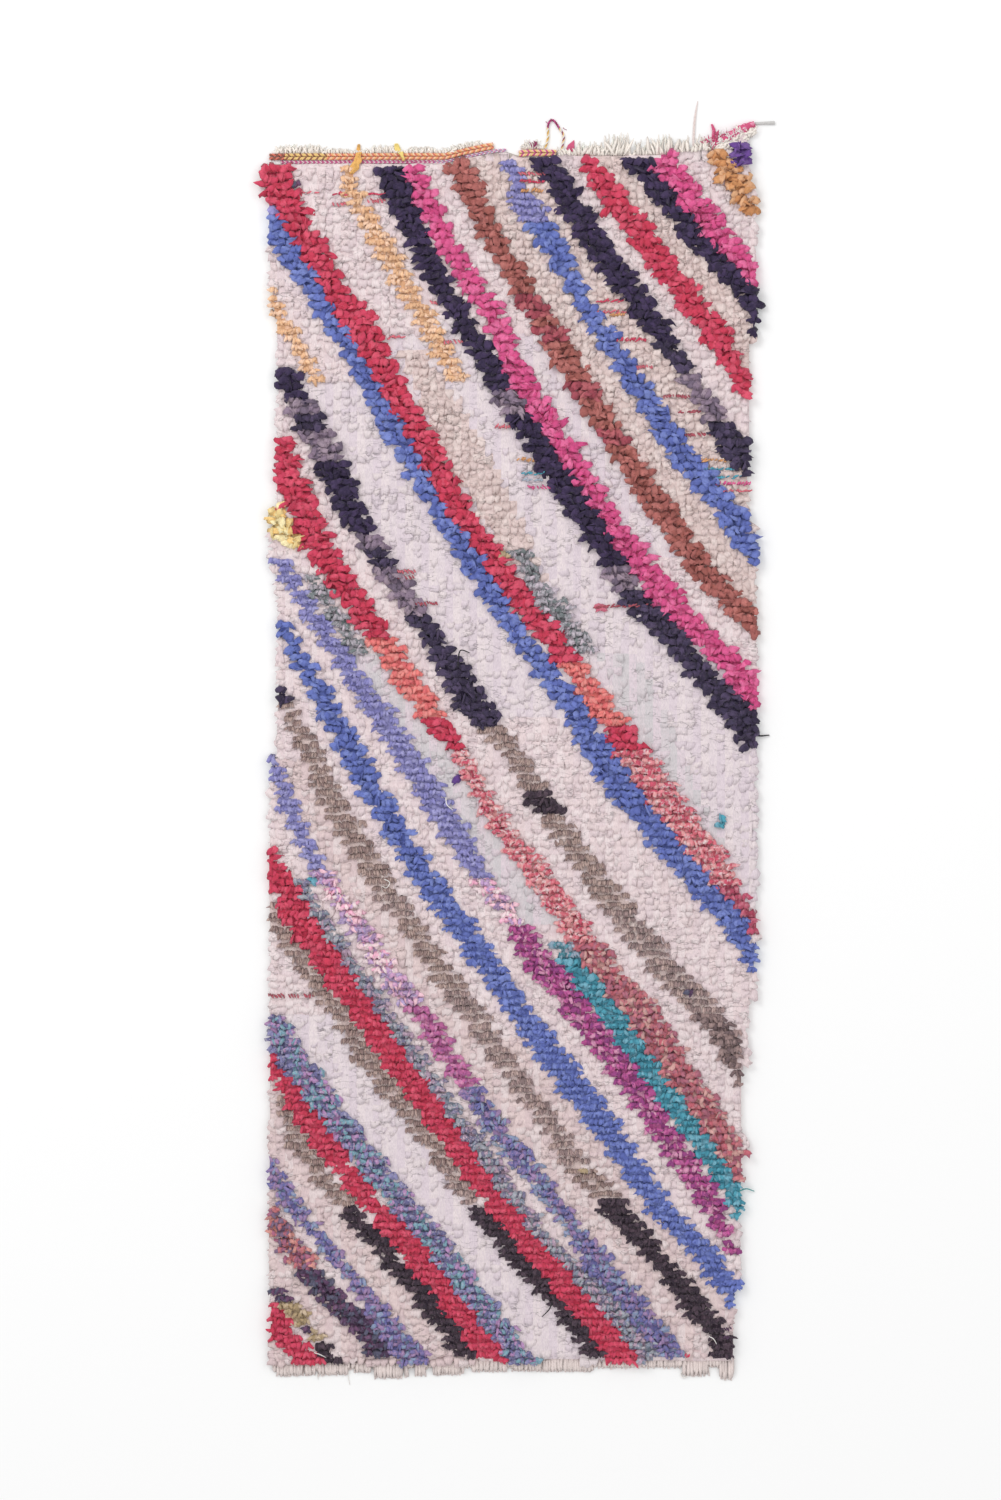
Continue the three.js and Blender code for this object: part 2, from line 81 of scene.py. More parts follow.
# Fabrics: how the tufts are cut, their dyes as red, green and blue out of 255, and the flecks in them
Fabric = namedtuple("Fabric", "cut dyes fleck mottle")
FABRICS = {
    "pinkish": Fabric("ground", [(229, 211, 212), (224, 206, 209), (232, 217, 218)], (205, 181, 184), 0.25),
    "white": Fabric("worn", [(223, 210, 214), (219, 205, 212), (227, 214, 216)], (200, 184, 197), 0.2),
    "beige": Fabric("rough_ground", [
        (224, 203, 200), (219, 198, 194), (229, 211, 207)], (199, 174, 171), 0.25),
    "peach": Fabric("ground", [(223, 202, 201), (218, 196, 197), (226, 210, 210)], (194, 173, 175), 0.25),
    "aqua": Fabric("worn", [(213, 203, 207), (207, 200, 203), (219, 204, 211)], (178, 179, 182), 0.25),
    "red": Fabric("petal", [(210, 70, 99), (202, 61, 87), (218, 85, 110)], (166, 42, 72), 0.15),
    "coral": Fabric("curl", [(234, 128, 124), (226, 115, 116), (234, 146, 140)], (206, 85, 101), 0.25),
    "rose": Fabric("curl", [
        (215, 111, 125), (225, 140, 148), (227, 160, 161), (201, 86, 108)], (240, 247, 247), 0.4),
    "salmon": Fabric("curl", [
        (200, 121, 129), (191, 100, 113), (210, 162, 157), (176, 105, 123)], (139, 121, 135), 0.3),
    "crimson": Fabric("petal", [(192, 82, 110), (201, 103, 125), (177, 75, 99)], (216, 193, 197), 0.2),
    "blue": Fabric("petal", [(111, 125, 194), (100, 113, 182), (124, 138, 202)], (81, 94, 159), 0.15),
    "lilac": Fabric("fine_rag", [(150, 146, 199), (139, 136, 193), (162, 159, 207)], (116, 113, 169), 0.2),
    "lavender": Fabric("petal", [(146, 136, 196), (132, 124, 188), (156, 150, 204)], (112, 104, 168), 0.25),
    "ochre": Fabric("fine_rag", [(240, 196, 158), (231, 184, 145), (246, 208, 180)], (211, 159, 117), 0.25),
    "navy": Fabric("petal", [(54, 43, 73), (48, 37, 64), (66, 52, 86)], (104, 85, 120), 0.15),
    "black": Fabric("petal", [(63, 54, 80), (54, 45, 69), (78, 66, 95)], (124, 105, 136), 0.15),
    "grey": Fabric("petal", [(147, 127, 147), (119, 104, 123), (166, 146, 161)], (88, 75, 95), 0.35),
    "pink": Fabric("petal", [(222, 94, 148), (214, 82, 138), (230, 112, 161)], (177, 54, 111), 0.15),
    "brown": Fabric("petal", [(174, 103, 98), (161, 94, 87), (188, 116, 110)], (129, 67, 67), 0.2),
    "plum": Fabric("petal", [(173, 83, 96), (157, 72, 85), (186, 101, 108)], (119, 51, 69), 0.15),
    "orange": Fabric("petal", [(219, 159, 108), (209, 147, 98), (225, 174, 133)], (183, 115, 73), 0.25),
    "yellow": Fabric("petal", [(247, 221, 157), (247, 208, 137), (247, 233, 186)], (219, 175, 107), 0.2),
    "purple": Fabric("petal", [(108, 72, 148), (98, 64, 136), (124, 90, 160)], (70, 46, 108), 0.2),
    "teal": Fabric("petal", [(84, 161, 181), (72, 146, 167), (119, 177, 196)], (54, 113, 136), 0.2),
    "pale_teal": Fabric("petal", [(169, 179, 193), (138, 164, 182), (80, 142, 157)], (232, 201, 218), 0.3),
    "olive": Fabric("petal", [(192, 170, 138), (179, 156, 122), (207, 185, 159)], (136, 118, 92), 0.3),
    "magenta": Fabric("strand", [
        (185, 83, 146), (202, 105, 162), (154, 69, 131), (214, 149, 180)], (114, 64, 119), 0.4),
    "orchid": Fabric("strand", [(200, 112, 162), (214, 139, 178), (180, 96, 148)], (143, 112, 171), 0.35),
    "confetti": Fabric("strand", [
        (246, 214, 220), (244, 178, 204), (238, 217, 220), (193, 158, 202)], (238, 219, 222), 0.35),
    "sage": Fabric("strand", [
        (167, 162, 170), (136, 138, 143), (196, 183, 194), (115, 123, 125)], (222, 207, 218), 0.4),
    "slate": Fabric("strand", [
        (137, 134, 178), (123, 162, 178), (181, 138, 185), (106, 103, 147)], (192, 186, 199), 0.45),
    "mist": Fabric("strand", [
        (132, 142, 159), (158, 163, 173), (122, 117, 145), (177, 150, 171)], (223, 201, 210), 0.45),
    "violet": Fabric("strand", [
        (213, 163, 202), (180, 159, 202), (243, 195, 210), (164, 135, 176)], (237, 215, 217), 0.35),
    "indigo": Fabric("strand", [
        (126, 117, 171), (109, 110, 165), (157, 130, 173), (138, 154, 185)], (190, 154, 180), 0.35),
    "rust": Fabric("strand", [
        (199, 117, 123), (170, 102, 128), (217, 150, 141), (128, 102, 130)], (128, 123, 141), 0.4),
    "dusk": Fabric("strand", [
        (92, 62, 94), (75, 53, 81), (111, 75, 107), (88, 87, 109)], (119, 114, 134), 0.35),
    "taupe": Fabric("tooth", [(170, 144, 138), (152, 127, 124), (189, 164, 156)], (119, 97, 94), 0.4),
    "smoke": Fabric("tooth", [(172, 146, 144), (147, 125, 125), (196, 170, 164)], (111, 93, 93), 0.4),
    "charcoal": Fabric("petal", [(135, 114, 114), (110, 91, 94), (162, 137, 135)], (202, 172, 167), 0.25),
    "coal": Fabric("petal", [(62, 49, 61), (52, 40, 53), (77, 61, 73)], (140, 118, 130), 0.2),
}

# Stripes of rag and wool. edges: pile row, first and last knot. fabrics: from which row on, what fabric.
# beside: from which row on, what fabric the ground at the stripe's right is.
Stripe = namedtuple("Stripe", "name slot edges fabrics beside")
STRIPES = [
    Stripe("red_main", "red_rag", [
        (0, -.3, 3.3), (4, -.5, 4.9), (5, .8, 5.2), (8.5, 3, 6.4), (12, 5.2, 8.4), (16, 7.6, 10.8),
        (19.5, 9.4, 13.8), (28, 14.6, 18.1), (44.5, 23.5, 26.8), (54, 30, 33.3), (63.5, 37.2, 40.6),
        (70, 41.8, 45.6), (79, 47.1, 52), (88.5, 54.8, 59), (96.5, 61.4, 63)],
        [(0, "red"), (63, "coral"), (71, "red"), (74.5, "rose"), (91.5, "crimson")],
        [(0, "pinkish"), (22, "white")]),
    Stripe("blue_main", "blue_rag", [
        (4.8, -.2, 2), (7, -.2, 3.2), (11, 1.4, 4.9), (19.5, 6.9, 9.5), (26, 11.2, 14.2),
        (34.6, 15.5, 18.1), (42.4, 20, 23), (51, 25.1, 28), (59, 30.2, 32.9), (67.5, 36.5, 39.9),
        (77, 41.3, 46), (86, 48.9, 53.1), (95, 56.4, 60.8), (102, 61.6, 62.3)],
        [(0, "lavender"), (7, "blue")], [(0, "white"), (75, "pinkish")]),
    Stripe("ochre_head", "warm_rag", [
        (.3, 9.8, 11.2), (3.5, 9.8, 12.2), (10, 12.9, 16.4), (16, 16.6, 19.6), (22, 20.2, 23),
        (28.4, 23.5, 26)],
        [(0, "ochre")], [(0, "pinkish"), (20, "white")]),
    Stripe("navy_head", "dark_rag", [
        (.5, 13.8, 17.6), (7.6, 16.6, 20), (14, 19.8, 23), (22, 24.8, 27.8), (30, 29, 32.2),
        (37, 33.5, 36.9), (42.5, 36.9, 40.6), (49, 41.4, 44.8), (55, 45, 48.2), (61, 51, 54),
        (65.6, 53.8, 58.2), (70, 57.8, 62.4), (74, 60.2, 62.6)],
        [(0, "navy"), (29, "grey"), (32, "navy"), (51, "grey"), (54, "black")],
        [(0, "pinkish"), (44, "white")]),
    Stripe("pink_head", "pink_rag", [
        (.5, 17.2, 19.5), (4.4, 18.1, 22), (11, 22, 24.5), (17.4, 25.9, 29), (24.5, 30, 32.5),
        (29, 31.1, 35.2), (38.4, 37.4, 40.6), (47, 42.8, 46.4), (56.4, 49.9, 54.2), (61, 55, 58.6),
        (65.6, 58.4, 62.8), (69.6, 61.6, 62.8)],
        [(0, "pink")], [(0, "pinkish"), (22, "white"), (50, "pinkish")]),
    Stripe("brown", "warm_rag", [
        (.5, 23, 26.4), (7.6, 26, 29.2), (15.2, 30.6, 33.5), (24.5, 35.8, 39.8), (34, 42, 45),
        (42.5, 46.9, 50.8), (52, 53.8, 57.5), (56.4, 58, 62.4), (60, 61, 62.5)],
        [(0, "brown"), (17, "plum"), (20, "brown"), (21.4, "plum"), (23.4, "brown"), (28.4, "plum"),
         (30, "brown"), (33.8, "plum"), (36.4, "brown")], [(0, "beige")]),
    Stripe("lilac_head", "violet_rag", [
        (-.2, 29.8, 32.3), (4.2, 31.1, 33.4), (6.5, 30.9, 35.8), (10, 34, 37.4), (17.5, 38.8, 41.5),
        (27, 44.5, 47.8), (36, 50.4, 53.8), (45, 57, 61), (51.6, 61.6, 62.8)],
        [(-3, "lilac"), (8, "blue")], [(-3, "beige")]),
    Stripe("black_head", "dark_rag", [
        (.2, 33.6, 37.2), (7.6, 38, 41.8), (14.6, 42.8, 46.6), (22, 48.2, 51.5), (29, 53.5, 55.6),
        (36, 56.8, 61.4), (40.2, 60.4, 61.8)],
        [(-3, "navy"), (23, "black"), (26.8, "grey"), (33, "black")], [(-3, "pinkish")]),
    Stripe("red_head", "red_rag", [
        (-.3, 39, 41.6), (6.5, 43.4, 47.2), (13.5, 48.5, 52.4), (22, 55, 58.9), (30.8, 61, 62.2)],
        [(-3, "red")], [(-3, "beige")]),
    Stripe("black_corner", "dark_rag", [
        (-.3, 44.6, 48.2), (6.5, 50.1, 52.9), (13.5, 55.6, 58.6), (17.5, 59.6, 62.6), (21.8, 61.6, 62.6)],
        [(-3, "navy")], [(-3, "pinkish")]),
    Stripe("pink_corner", "pink_rag", [
        (-1, 48, 51.5), (0, 48.5, 52), (5.9, 52, 56.4), (12.2, 57.5, 61.4), (17.1, 60.8, 61.8)],
        [(-3, "pink")], [(-3, "pinkish")]),
    Stripe("orange_corner", "warm_rag", [(-1.2, 55.3, 57.8), (1.9, 57, 60.8), (7.2, 60.4, 62)],
        [(-3, "orange")], [(-3, "pinkish")]),
    Stripe("purple_corner", "violet_rag", [(-2.2, 58.2, 61.2), (1.2, 59.8, 61.6)],
        [(-3, "purple")], [(-3, "pinkish")]),
    Stripe("ochre_side", "warm_rag", [(15.9, .1, 1.6), (19.5, .9, 3.5), (24, 3.9, 6.2), (28.2, 6, 7.8)],
        [(0, "ochre")], [(0, "pinkish")]),
    Stripe("taupe_long", "wool", [
        (25.6, 1.1, 3.5), (32.5, 3.6, 7.8), (39, 7.1, 11), (45.6, 10.5, 13.8), (55, 16.6, 19.4),
        (60.5, 20.5, 23.5), (68.5, 24.4, 29.1), (74, 30, 32.5), (81.5, 34, 37.8), (87.6, 38.5, 41.8),
        (92.5, 41.4, 45.8), (99, 46.4, 51), (104, 50.5, 55.9), (109, 55.4, 59.6), (116, 59.5, 60.8)],
        [(0, "navy"), (30, "grey"), (32, "black"), (34.5, "grey"), (38, "navy"), (47, "grey"),
         (49.4, "black"), (51.5, "grey"), (57, "black"), (70.6, "taupe"), (79.4, "coal"), (82, "taupe"),
         (94, "smoke"), (107, "charcoal")], [(0, "white"), (70, "pinkish")]),
    Stripe("red_coral", "red_rag", [
        (34.9, 1.5, 3.5), (42.4, 2.6, 6.5), (51, 6.5, 10.5), (59.6, 12.8, 16.4), (67.4, 17.6, 21.8),
        (74, 23.5, 25.8), (83.5, 28.2, 31.2), (90, 33, 36.9), (97, 37.6, 41.5), (106.5, 45, 49.6),
        (115.6, 51.2, 55.4), (124.5, 57.5, 60.8), (128, 59.5, 60.8)],
        [(0, "red"), (60.5, "coral"), (70.2, "red"), (74.5, "rose"), (98, "salmon")], [(0, "pinkish")]),
    Stripe("yellow_patch", "warm_rag", [(42.6, .7, 2.4), (45.6, .7, 4), (48.6, 2.6, 4.8)],
        [(0, "yellow")], [(0, "pinkish")]),
    Stripe("lilac_long", "violet_rag", [
        (49.9, .5, 3.5), (56.4, 4.8, 7.1), (65, 10.1, 13.4), (74, 16, 19.8), (82.5, 20.9, 25),
        (90, 26, 29.1), (94, 29.8, 32), (100.6, 32.8, 37.1), (110, 40.1, 44.1), (120, 47.4, 51),
        (129, 53.5, 57.2), (136.5, 58.5, 59.8)],
        [(0, "lilac"), (89.8, "confetti"), (91.6, "violet"), (94, "confetti"), (96, "magenta")],
        [(0, "pinkish"), (62, "aqua"), (96, "pinkish")]),
    Stripe("green_grey", "mixed_rag", [(51.9, 4.8, 7.1), (61.5, 11, 13.4)],
        [(0, "sage")], [(0, "pinkish")]),
    Stripe("green_grey_middle", "mixed_rag", [
        (48.8, 30.9, 33.2), (53, 32.8, 35.5), (57.6, 35.5, 39.5), (61.8, 39, 41.8)],
        [(0, "sage")], [(0, "white")]),
    Stripe("teal_right", "mixed_rag", [
        (98, 36.2, 38), (100, 36.9, 40.4), (109, 43.4, 46.9), (117.5, 49.4, 53.1), (127, 56.1, 60),
        (132.6, 59.5, 60.5)],
        [(0, "pale_teal"), (100, "teal")], [(0, "pinkish")]),
    Stripe("blue_low", "blue_rag", [
        (58.4, 1.5, 3.6), (69.5, 7.1, 10.4), (78, 11.6, 15.1), (87, 16.8, 20.2), (94.5, 21.8, 25.9),
        (103, 28, 31.6), (113.4, 34.9, 39.5), (122, 41.5, 45.8), (131.4, 48.2, 52), (140, 55.9, 59.8),
        (143.5, 58.5, 59.9)],
        [(0, "blue")], [(0, "pinkish")]),
    Stripe("taupe_low", "wool", [
        (66.2, 1.1, 3), (74, 4.6, 7.4), (81.4, 7.5, 11.4), (88, 11.4, 15.2), (92.6, 14.4, 18.1),
        (100, 19.8, 23), (107, 24.5, 28.2), (114.4, 29.8, 32.9), (120.8, 34.6, 37.6), (126, 37.6, 41.2),
        (131, 42, 46), (138.6, 48.9, 52), (141.2, 50.7, 54.6), (144.3, 53.1, 57), (147.4, 55.7, 58.7),
        (150.6, 55.9, 59)],
        [(0, "black"), (68, "taupe"), (92, "smoke"), (95, "taupe"), (104, "smoke"), (126, "taupe"),
         (130, "coal")], [(0, "pinkish"), (110, "peach")]),
    Stripe("violet_low", "violet_rag", [
        (74.8, .9, 2.1), (82.5, 2.6, 5.4), (90, 6.5, 9.2), (96, 10.8, 13.8), (103, 14.9, 18.5),
        (107.5, 19.1, 22.1), (115.6, 23.9, 26.9), (124.5, 30.4, 33.6), (134, 37.9, 40.6),
        (138.6, 40.1, 44.5), (148, 48.8, 52.1), (150.6, 50.6, 54)],
        [(0, "lilac"), (89, "violet"), (91, "confetti"), (95.5, "violet"), (98, "confetti"),
         (102, "violet"), (106.5, "orchid"), (116, "indigo")], [(0, "peach")]),
    Stripe("red_low", "red_rag", [
        (86.4, .6, 1.8), (88, -.1, 2.8), (94.5, 2.4, 6.2), (103, 8.1, 11.9), (112, 14.4, 17.9),
        (119.5, 19.8, 23.5), (128, 25.6, 29), (136, 31.9, 35.5), (145.5, 39.8, 43.9), (150.6, 43.4, 47.4)],
        [(0, "red")], [(0, "pinkish")]),
    Stripe("teal_low", "mixed_rag", [
        (90.2, 3.6, 5.4), (98.4, 8.1, 10.5), (103, 11.6, 14), (111.4, 17.4, 20), (119.5, 23.2, 25.2),
        (124, 26.2, 29), (134, 32.8, 35.8), (143, 41.2, 44.8), (148, 45, 48.8), (150.6, 47.4, 52.6)],
        [(0, "mist")], [(0, "pinkish")]),
    Stripe("wool_low", "wool", [
        (93, -.2, 2.1), (99.5, 2.8, 5.8), (107.5, 8.6, 11.2), (112.6, 11.2, 14.9), (120, 17.2, 20),
        (126.6, 22.1, 24.8), (131.4, 25.6, 27.7), (140, 32.5, 35.8), (147, 38.8, 42.2),
        (150.4, 40.6, 43.4)],
        [(0, "smoke"), (95, "taupe"), (126.4, "smoke"), (131, "coal")], [(0, "pinkish")]),
    Stripe("slate_foot", "mixed_rag", [
        (107, .5, 2.8), (111, .6, 5.1), (119.5, 6.9, 11.2), (128, 13.5, 17.4), (136, 20.2, 24.1),
        (149, 29.9, 33.5), (150.6, 31.1, 34.6)],
        [(0, "slate")], [(0, "white")]),
    Stripe("red_foot", "red_rag", [
        (110.8, .2, 1), (113, .2, 3), (122, 5.1, 9), (130, 11.6, 14.6), (138, 18.1, 22), (149, 26.5, 30.4),
        (150.6, 27.6, 31.4)],
        [(0, "red")], [(0, "pinkish")]),
    Stripe("wool_foot", "wool", [
        (117, 1.5, 3), (124, 3.6, 6.5), (130, 8.4, 11.2), (138, 15.1, 17.9), (149, 23.9, 26.9),
        (150.4, 24.8, 27.8)],
        [(0, "taupe"), (130.8, "coal")], [(0, "pinkish")]),
    Stripe("violet_foot", "violet_rag", [
        (125, .2, 1.2), (128.6, .9, 3.6), (135.8, 6.9, 8.9), (140.5, 10.8, 13.1), (149, 16, 20.2),
        (150.6, 17.2, 21.2)],
        [(0, "indigo")], [(0, "peach")]),
    Stripe("rust_foot", "mixed_rag", [
        (131.4, 1.1, 2), (134, .9, 4.1), (139.4, 4.1, 8.1), (147.4, 11.9, 15.2), (150, 13.6, 16.2)],
        [(0, "rust"), (139.4, "dusk")], [(0, "pinkish")]),
    Stripe("olive_corner", "warm_rag", [
        (140.9, 1.1, 2.4), (143, 2, 4.5), (148, 6.1, 8.3), (150.8, 8.4, 10.5)],
        [(0, "dusk"), (143, "olive"), (148.4, "coal")], [(0, "peach")]),
    Stripe("red_corner", "red_rag", [(142.6, .3, 1.8), (147, .6, 4.5), (150.6, 4.1, 8)],
        [(0, "red")], [(0, "pinkish")]),
]
SELVEDGE_GROUND = [(-3, "pinkish"), (112, "peach")]

# Patches of the ground in another cloth, laid out as the stripes are
GROUND_PATCHES = [
    ("beige", [(24, 17, 20.5), (36, 22.5, 28), (46, 28.2, 33), (53, 33, 36)]),
    ("aqua", [(62, 42, 47), (70, 45, 51), (80, 51.5, 55), (88, 57, 59)]),
]

# Single knots of another rag, by pile row and knot
STRAY_KNOTS = {
    (3, 4): "dusk", (82, 57): "teal", (83, 57): "teal", (77, 24): "purple", (49, 30): "olive",
    (21, 10): "blue", (126, 40): "olive", (146, 5): "dusk", (90, 6): "teal", (104, 53): "dusk",
    (60, 62): "crimson", (24, 0): "crimson", (23, 0): "rust", (56, 42): "crimson",
}

# Coloured weft that shows between pile rows: pile row, first and last knot, yarn
WEFT_MARKS = [
    (4.4, 4.8, 7, "rose"), (4.6, 8.9, 10.4, "red"), (5.6, 9, 10.4, "rose"), (4.6, 13.2, 15.4, "red"),
    (5.2, 13.4, 15.4, "rose"), (22.5, 15.5, 17.6, "rose"), (22.8, 22.9, 25, "rose"),
    (17.9, 21.1, 22.1, "rose"), (33.8, 29.2, 31.2, "rose"), (18, 41.8, 45.2, "red"),
    (19.3, 41.8, 45.4, "rose"), (19.8, 43.6, 45.5, "orange"), (22.9, 44.5, 48, "red"),
    (25.9, 46.9, 48.9, "rose"), (29.6, 50.1, 53.5, "plum"), (31.8, 52.1, 54.8, "plum"),
    (34.4, 52.9, 55.9, "plum"), (37.9, 54.8, 58.1, "orange"), (39, 55.4, 58.9, "teal"),
    (40, 56.5, 59.8, "teal"), (40.9, 56.8, 61, "pink"), (41.7, 57, 61, "rose"), (37.9, 32, 34.4, "orange"),
    (39.5, 32.5, 35.5, "teal"), (40.3, 32.6, 35.2, "pale_teal"), (41, 33.3, 36.2, "pink"),
    (1.8, 32.1, 35.4, "rose"), (3, 32.3, 35.1, "red"), (4.3, 32.4, 35, "orange"), (51.5, 17, 19.1, "rose"),
    (52.2, 17, 19, "plum"), (55.5, 19.1, 22, "plum"), (56.1, 41.5, 48.2, "plum"), (104.5, .9, 6.6, "plum"),
    (146.2, 57.6, 58.7, "dusk"), (147.6, 57.7, 58.8, "dusk"), (149.9, 52.7, 53.6, "red"),
]

# Groups of longer warp ends in a fringe: x from and to, and how far they reach, in mm
Fringe = namedtuple("Fringe", "start end reach")
WARP_ENDS_LEFT = [
    Fringe(-430, -352, 14), Fringe(-346, -306, 7), Fringe(-262, -222, 13), Fringe(-196, -150, 10),
    Fringe(-128, -70, 8),
]
WARP_ENDS_MIDDLE = [Fringe(13, 40, 15)]
WARP_FRINGE_RIGHT = [
    Fringe(108, 152, 23), Fringe(160, 206, 36), Fringe(214, 226, 27), Fringe(234, 280, 34),
    Fringe(288, 308, 28), Fringe(322, 338, 28),
]
WARP_FRINGE_FOOT = [
    Fringe(-432, -364, 18), Fringe(-357, -306, 20), Fringe(-294, -266, 17), Fringe(-258, -200, 28),
    Fringe(-184, -167, 24), Fringe(-150, -98, 23), Fringe(-82, -20, 18), Fringe(-8, 132, 17),
    Fringe(302, 344, 26), Fringe(366, 388, 33),
]

# Small pieces: points on the floor, x and y in mm, and widths along them
SHORT_CORD = [(3, 1062.5), (20, 1064), (45, 1064), (70, 1063.5)]
LOOP = [
    (50, 1071.8), (55, 1092), (55, 1112), (59, 1122), (66, 1122), (77, 1106), (83, 1096), (82, 1082),
    (78, 1062),
]
LOOP_TOP = 1108  # mm, over this y the loop is plum
TAIL = [(350, 1077), (366, 1086), (384, 1095), (404, 1106), (427, 1117)]
TAIL_WIDTHS = [11, 15, 16, 17, 10]
NUB = [(357, 1086), (353, 1094), (354, 1104), (350, 1116)]
NUB_WIDTHS = [7.5, 6, 6.5, 3.5]
TAIL_END = [(427.8, 1117.4), (446, 1118), (463.5, 1118.5)]
TAIL_END_WIDTHS = [5, 5.5, 7]

# Loose threads: yarn, width in mm, and points in x, y and z
STRAY_THREADS = [
    ("black", 3.4, [(416, 22, 12), (434, 14, 6), (454, 15, 2)]),
    ("teal", 2.6, [(398, -806, 15), (412, -802, 8), (427, -807, 2)]),
    ("white", 2.2, [(-362, -1122, 2), (-361, -1136, 2), (-359, -1146, 1.4)]),
    ("white", 1.8, [(-303, -1120, 2), (-305, -1140, 2), (-302, -1156, 1.2)]),
    ("black", 2.8, [(-107, 138, 20), (-105, 162, 17), (-100, 168, 16), (-86, 163, 14)]),
    ("white", 2.0, [(-129, -97, 22), (-127, -110, 23), (-116, -120, 20)]),
    ("white", 1.8, [(-240, -244, 15), (-230, -250, 17), (-236, -260, 16), (-244, -256, 15)]),
    ("black", 2.6, [(62, -1004, 20), (57, -1018, 16), (44, -1032, 12)]),
    ("white", 1.8, [(-366, -1095, 22), (-356, -1098, 24), (-344, -1104, 22)]),
    ("white", 1.8, [(344, -1066, 22), (352, -1070, 24), (358, -1080, 22)]),
]


# Reading the tables

def between(table, at):
    """The second column of a two-column table, read between its rows."""
    rows = sorted(table)
    return float(np.interp(at, [row[0] for row in rows], [row[1] for row in rows]))


def section(table, row):
    """What a table of sections gives at a pile row."""
    found = table[0][1]
    for start, name in table:
        if row >= start:
            found = name
    return found


def linear(color):
    """A colour out of 255 as Blender's linear light."""
    share = np.asarray(color, dtype=float) / 255
    return np.where(share <= 0.04045, share / 12.92, ((share + 0.055) / 1.055) ** 2.4)


def row_y(row):
    return FIRST_ROW - row * KNOT


def knot_x(knot):
    return FIRST_KNOT + knot * KNOT


def head_y(x):
    return between(HEAD_LINE, x)


def foot_y(x):
    return between(FOOT_EDGE, x)


# Stage, light and camera

IMAGE = (1001, 1500)  # pixels
MM_PER_PIXEL = 1.8
RUG_ORIGIN_PIXEL = (517.5, 743.5)  # the pixel above the rug's origin
CAMERA_HEIGHT = 8.0  # m over the pile
PILE_LEVEL = 0.012  # m
SENSOR = 36.0  # mm
FLOOR_REACH = 9  # m
FLOOR_SHADE = 0.93
SKY_LIGHT = 0.88
# Lights: name, place and size in m, power in W
LIGHTS = [("key", (-3.0, 3.3, 4.0), 2.6, 90), ("fill", (3.2, 1.5, 4.5), 3.0, 25)]


def make_camera():
    """A camera straight above, as far from the middle as the photograph's middle is from the rug's."""
    data = bpy.data.cameras.new("camera")
    camera = bpy.data.objects.new("camera", data)
    bpy.context.collection.objects.link(camera)
    x = (IMAGE[0] / 2 - RUG_ORIGIN_PIXEL[0]) * MM_PER_PIXEL * MM
    y = (RUG_ORIGIN_PIXEL[1] - IMAGE[1] / 2) * MM_PER_PIXEL * MM
    camera.location = (x, y, PILE_LEVEL + CAMERA_HEIGHT)
    data.sensor_width = SENSOR
    half_view = IMAGE[1] * MM_PER_PIXEL * MM / 2
    data.lens = SENSOR / 2 * CAMERA_HEIGHT / half_view
    bpy.context.scene.camera = camera


def make_light(name, place, size, power):
    """A soft round light that points at the rug's origin."""
    data = bpy.data.lights.new(name, "AREA")
    data.shape = "DISK"
    data.size = size
    data.energy = power
    light = bpy.data.objects.new(name, data)
    bpy.context.collection.objects.link(light)
    light.location = place
    light.rotation_euler = (-Vector(place)).to_track_quat("-Z", "Y").to_euler()


def new_material(name):
    """A material with its node tree and its shader."""
    material = bpy.data.materials.new(name)
    material.use_nodes = True
    return material, material.node_tree, material.node_tree.nodes["Principled BSDF"]


def mesh_of(bm, name):
    """A finished bmesh as a mesh."""
    mesh = bpy.data.meshes.new(name)
    bm.to_mesh(mesh)
    bm.free()
    return mesh


def make_stage():
    """An even white surrounding, a pale floor and two soft lights."""
    scene = bpy.context.scene
    world = bpy.data.worlds.new("studio")
    scene.world = world
    world.use_nodes = True
    background = world.node_tree.nodes["Background"]
    background.inputs["Color"].default_value = (1.0, 1.0, 1.0, 1)
    background.inputs["Strength"].default_value = SKY_LIGHT
    scene.view_settings.view_transform = "Standard"
    scene.view_settings.look = "None"
    bm = bmesh.new()
    bmesh.ops.create_grid(bm, x_segments=1, y_segments=1, size=FLOOR_REACH)
    mesh = mesh_of(bm, "floor")
    floor = bpy.data.objects.new("floor", mesh)
    bpy.context.collection.objects.link(floor)
    material, _, shader = new_material("pale_floor")
    shader.inputs["Base Color"].default_value = (FLOOR_SHADE, FLOOR_SHADE, FLOOR_SHADE, 1)
    shader.inputs["Roughness"].default_value = 0.9
    shader.inputs["Specular IOR Level"].default_value = 0.1
    mesh.materials.append(material)
    for light in LIGHTS:
        make_light(*light)


# Cloth and yarn materials

ALONG_RUG = (2.4, 0.5, 1.0)  # how far a noise is drawn out along each axis
EVEN = (1, 1, 1)
ROUGHNESS = 0.9
SPECULAR = 0.2
SHEEN = 0.12
SHEEN_ROUGHNESS = 0.6


def add_node(tree, kind, **values):
    node = tree.nodes.new(kind)
    for name, value in values.items():
        setattr(node, name, value)
    return node


def noise(tree, scale, stretch, detail=2.0):
    """A noise in the rug's own metres, drawn out by a stretch along each axis."""
    place = add_node(tree, "ShaderNodeTexCoord")
    mapping = add_node(tree, "ShaderNodeMapping")
    mapping.inputs["Scale"].default_value = stretch
    texture = add_node(tree, "ShaderNodeTexNoise")
    texture.inputs["Scale"].default_value = scale
    texture.inputs["Detail"].default_value = detail
    tree.links.new(place.outputs["Object"], mapping.inputs["Vector"])
    tree.links.new(mapping.outputs["Vector"], texture.inputs["Vector"])
    return texture.outputs["Fac"]


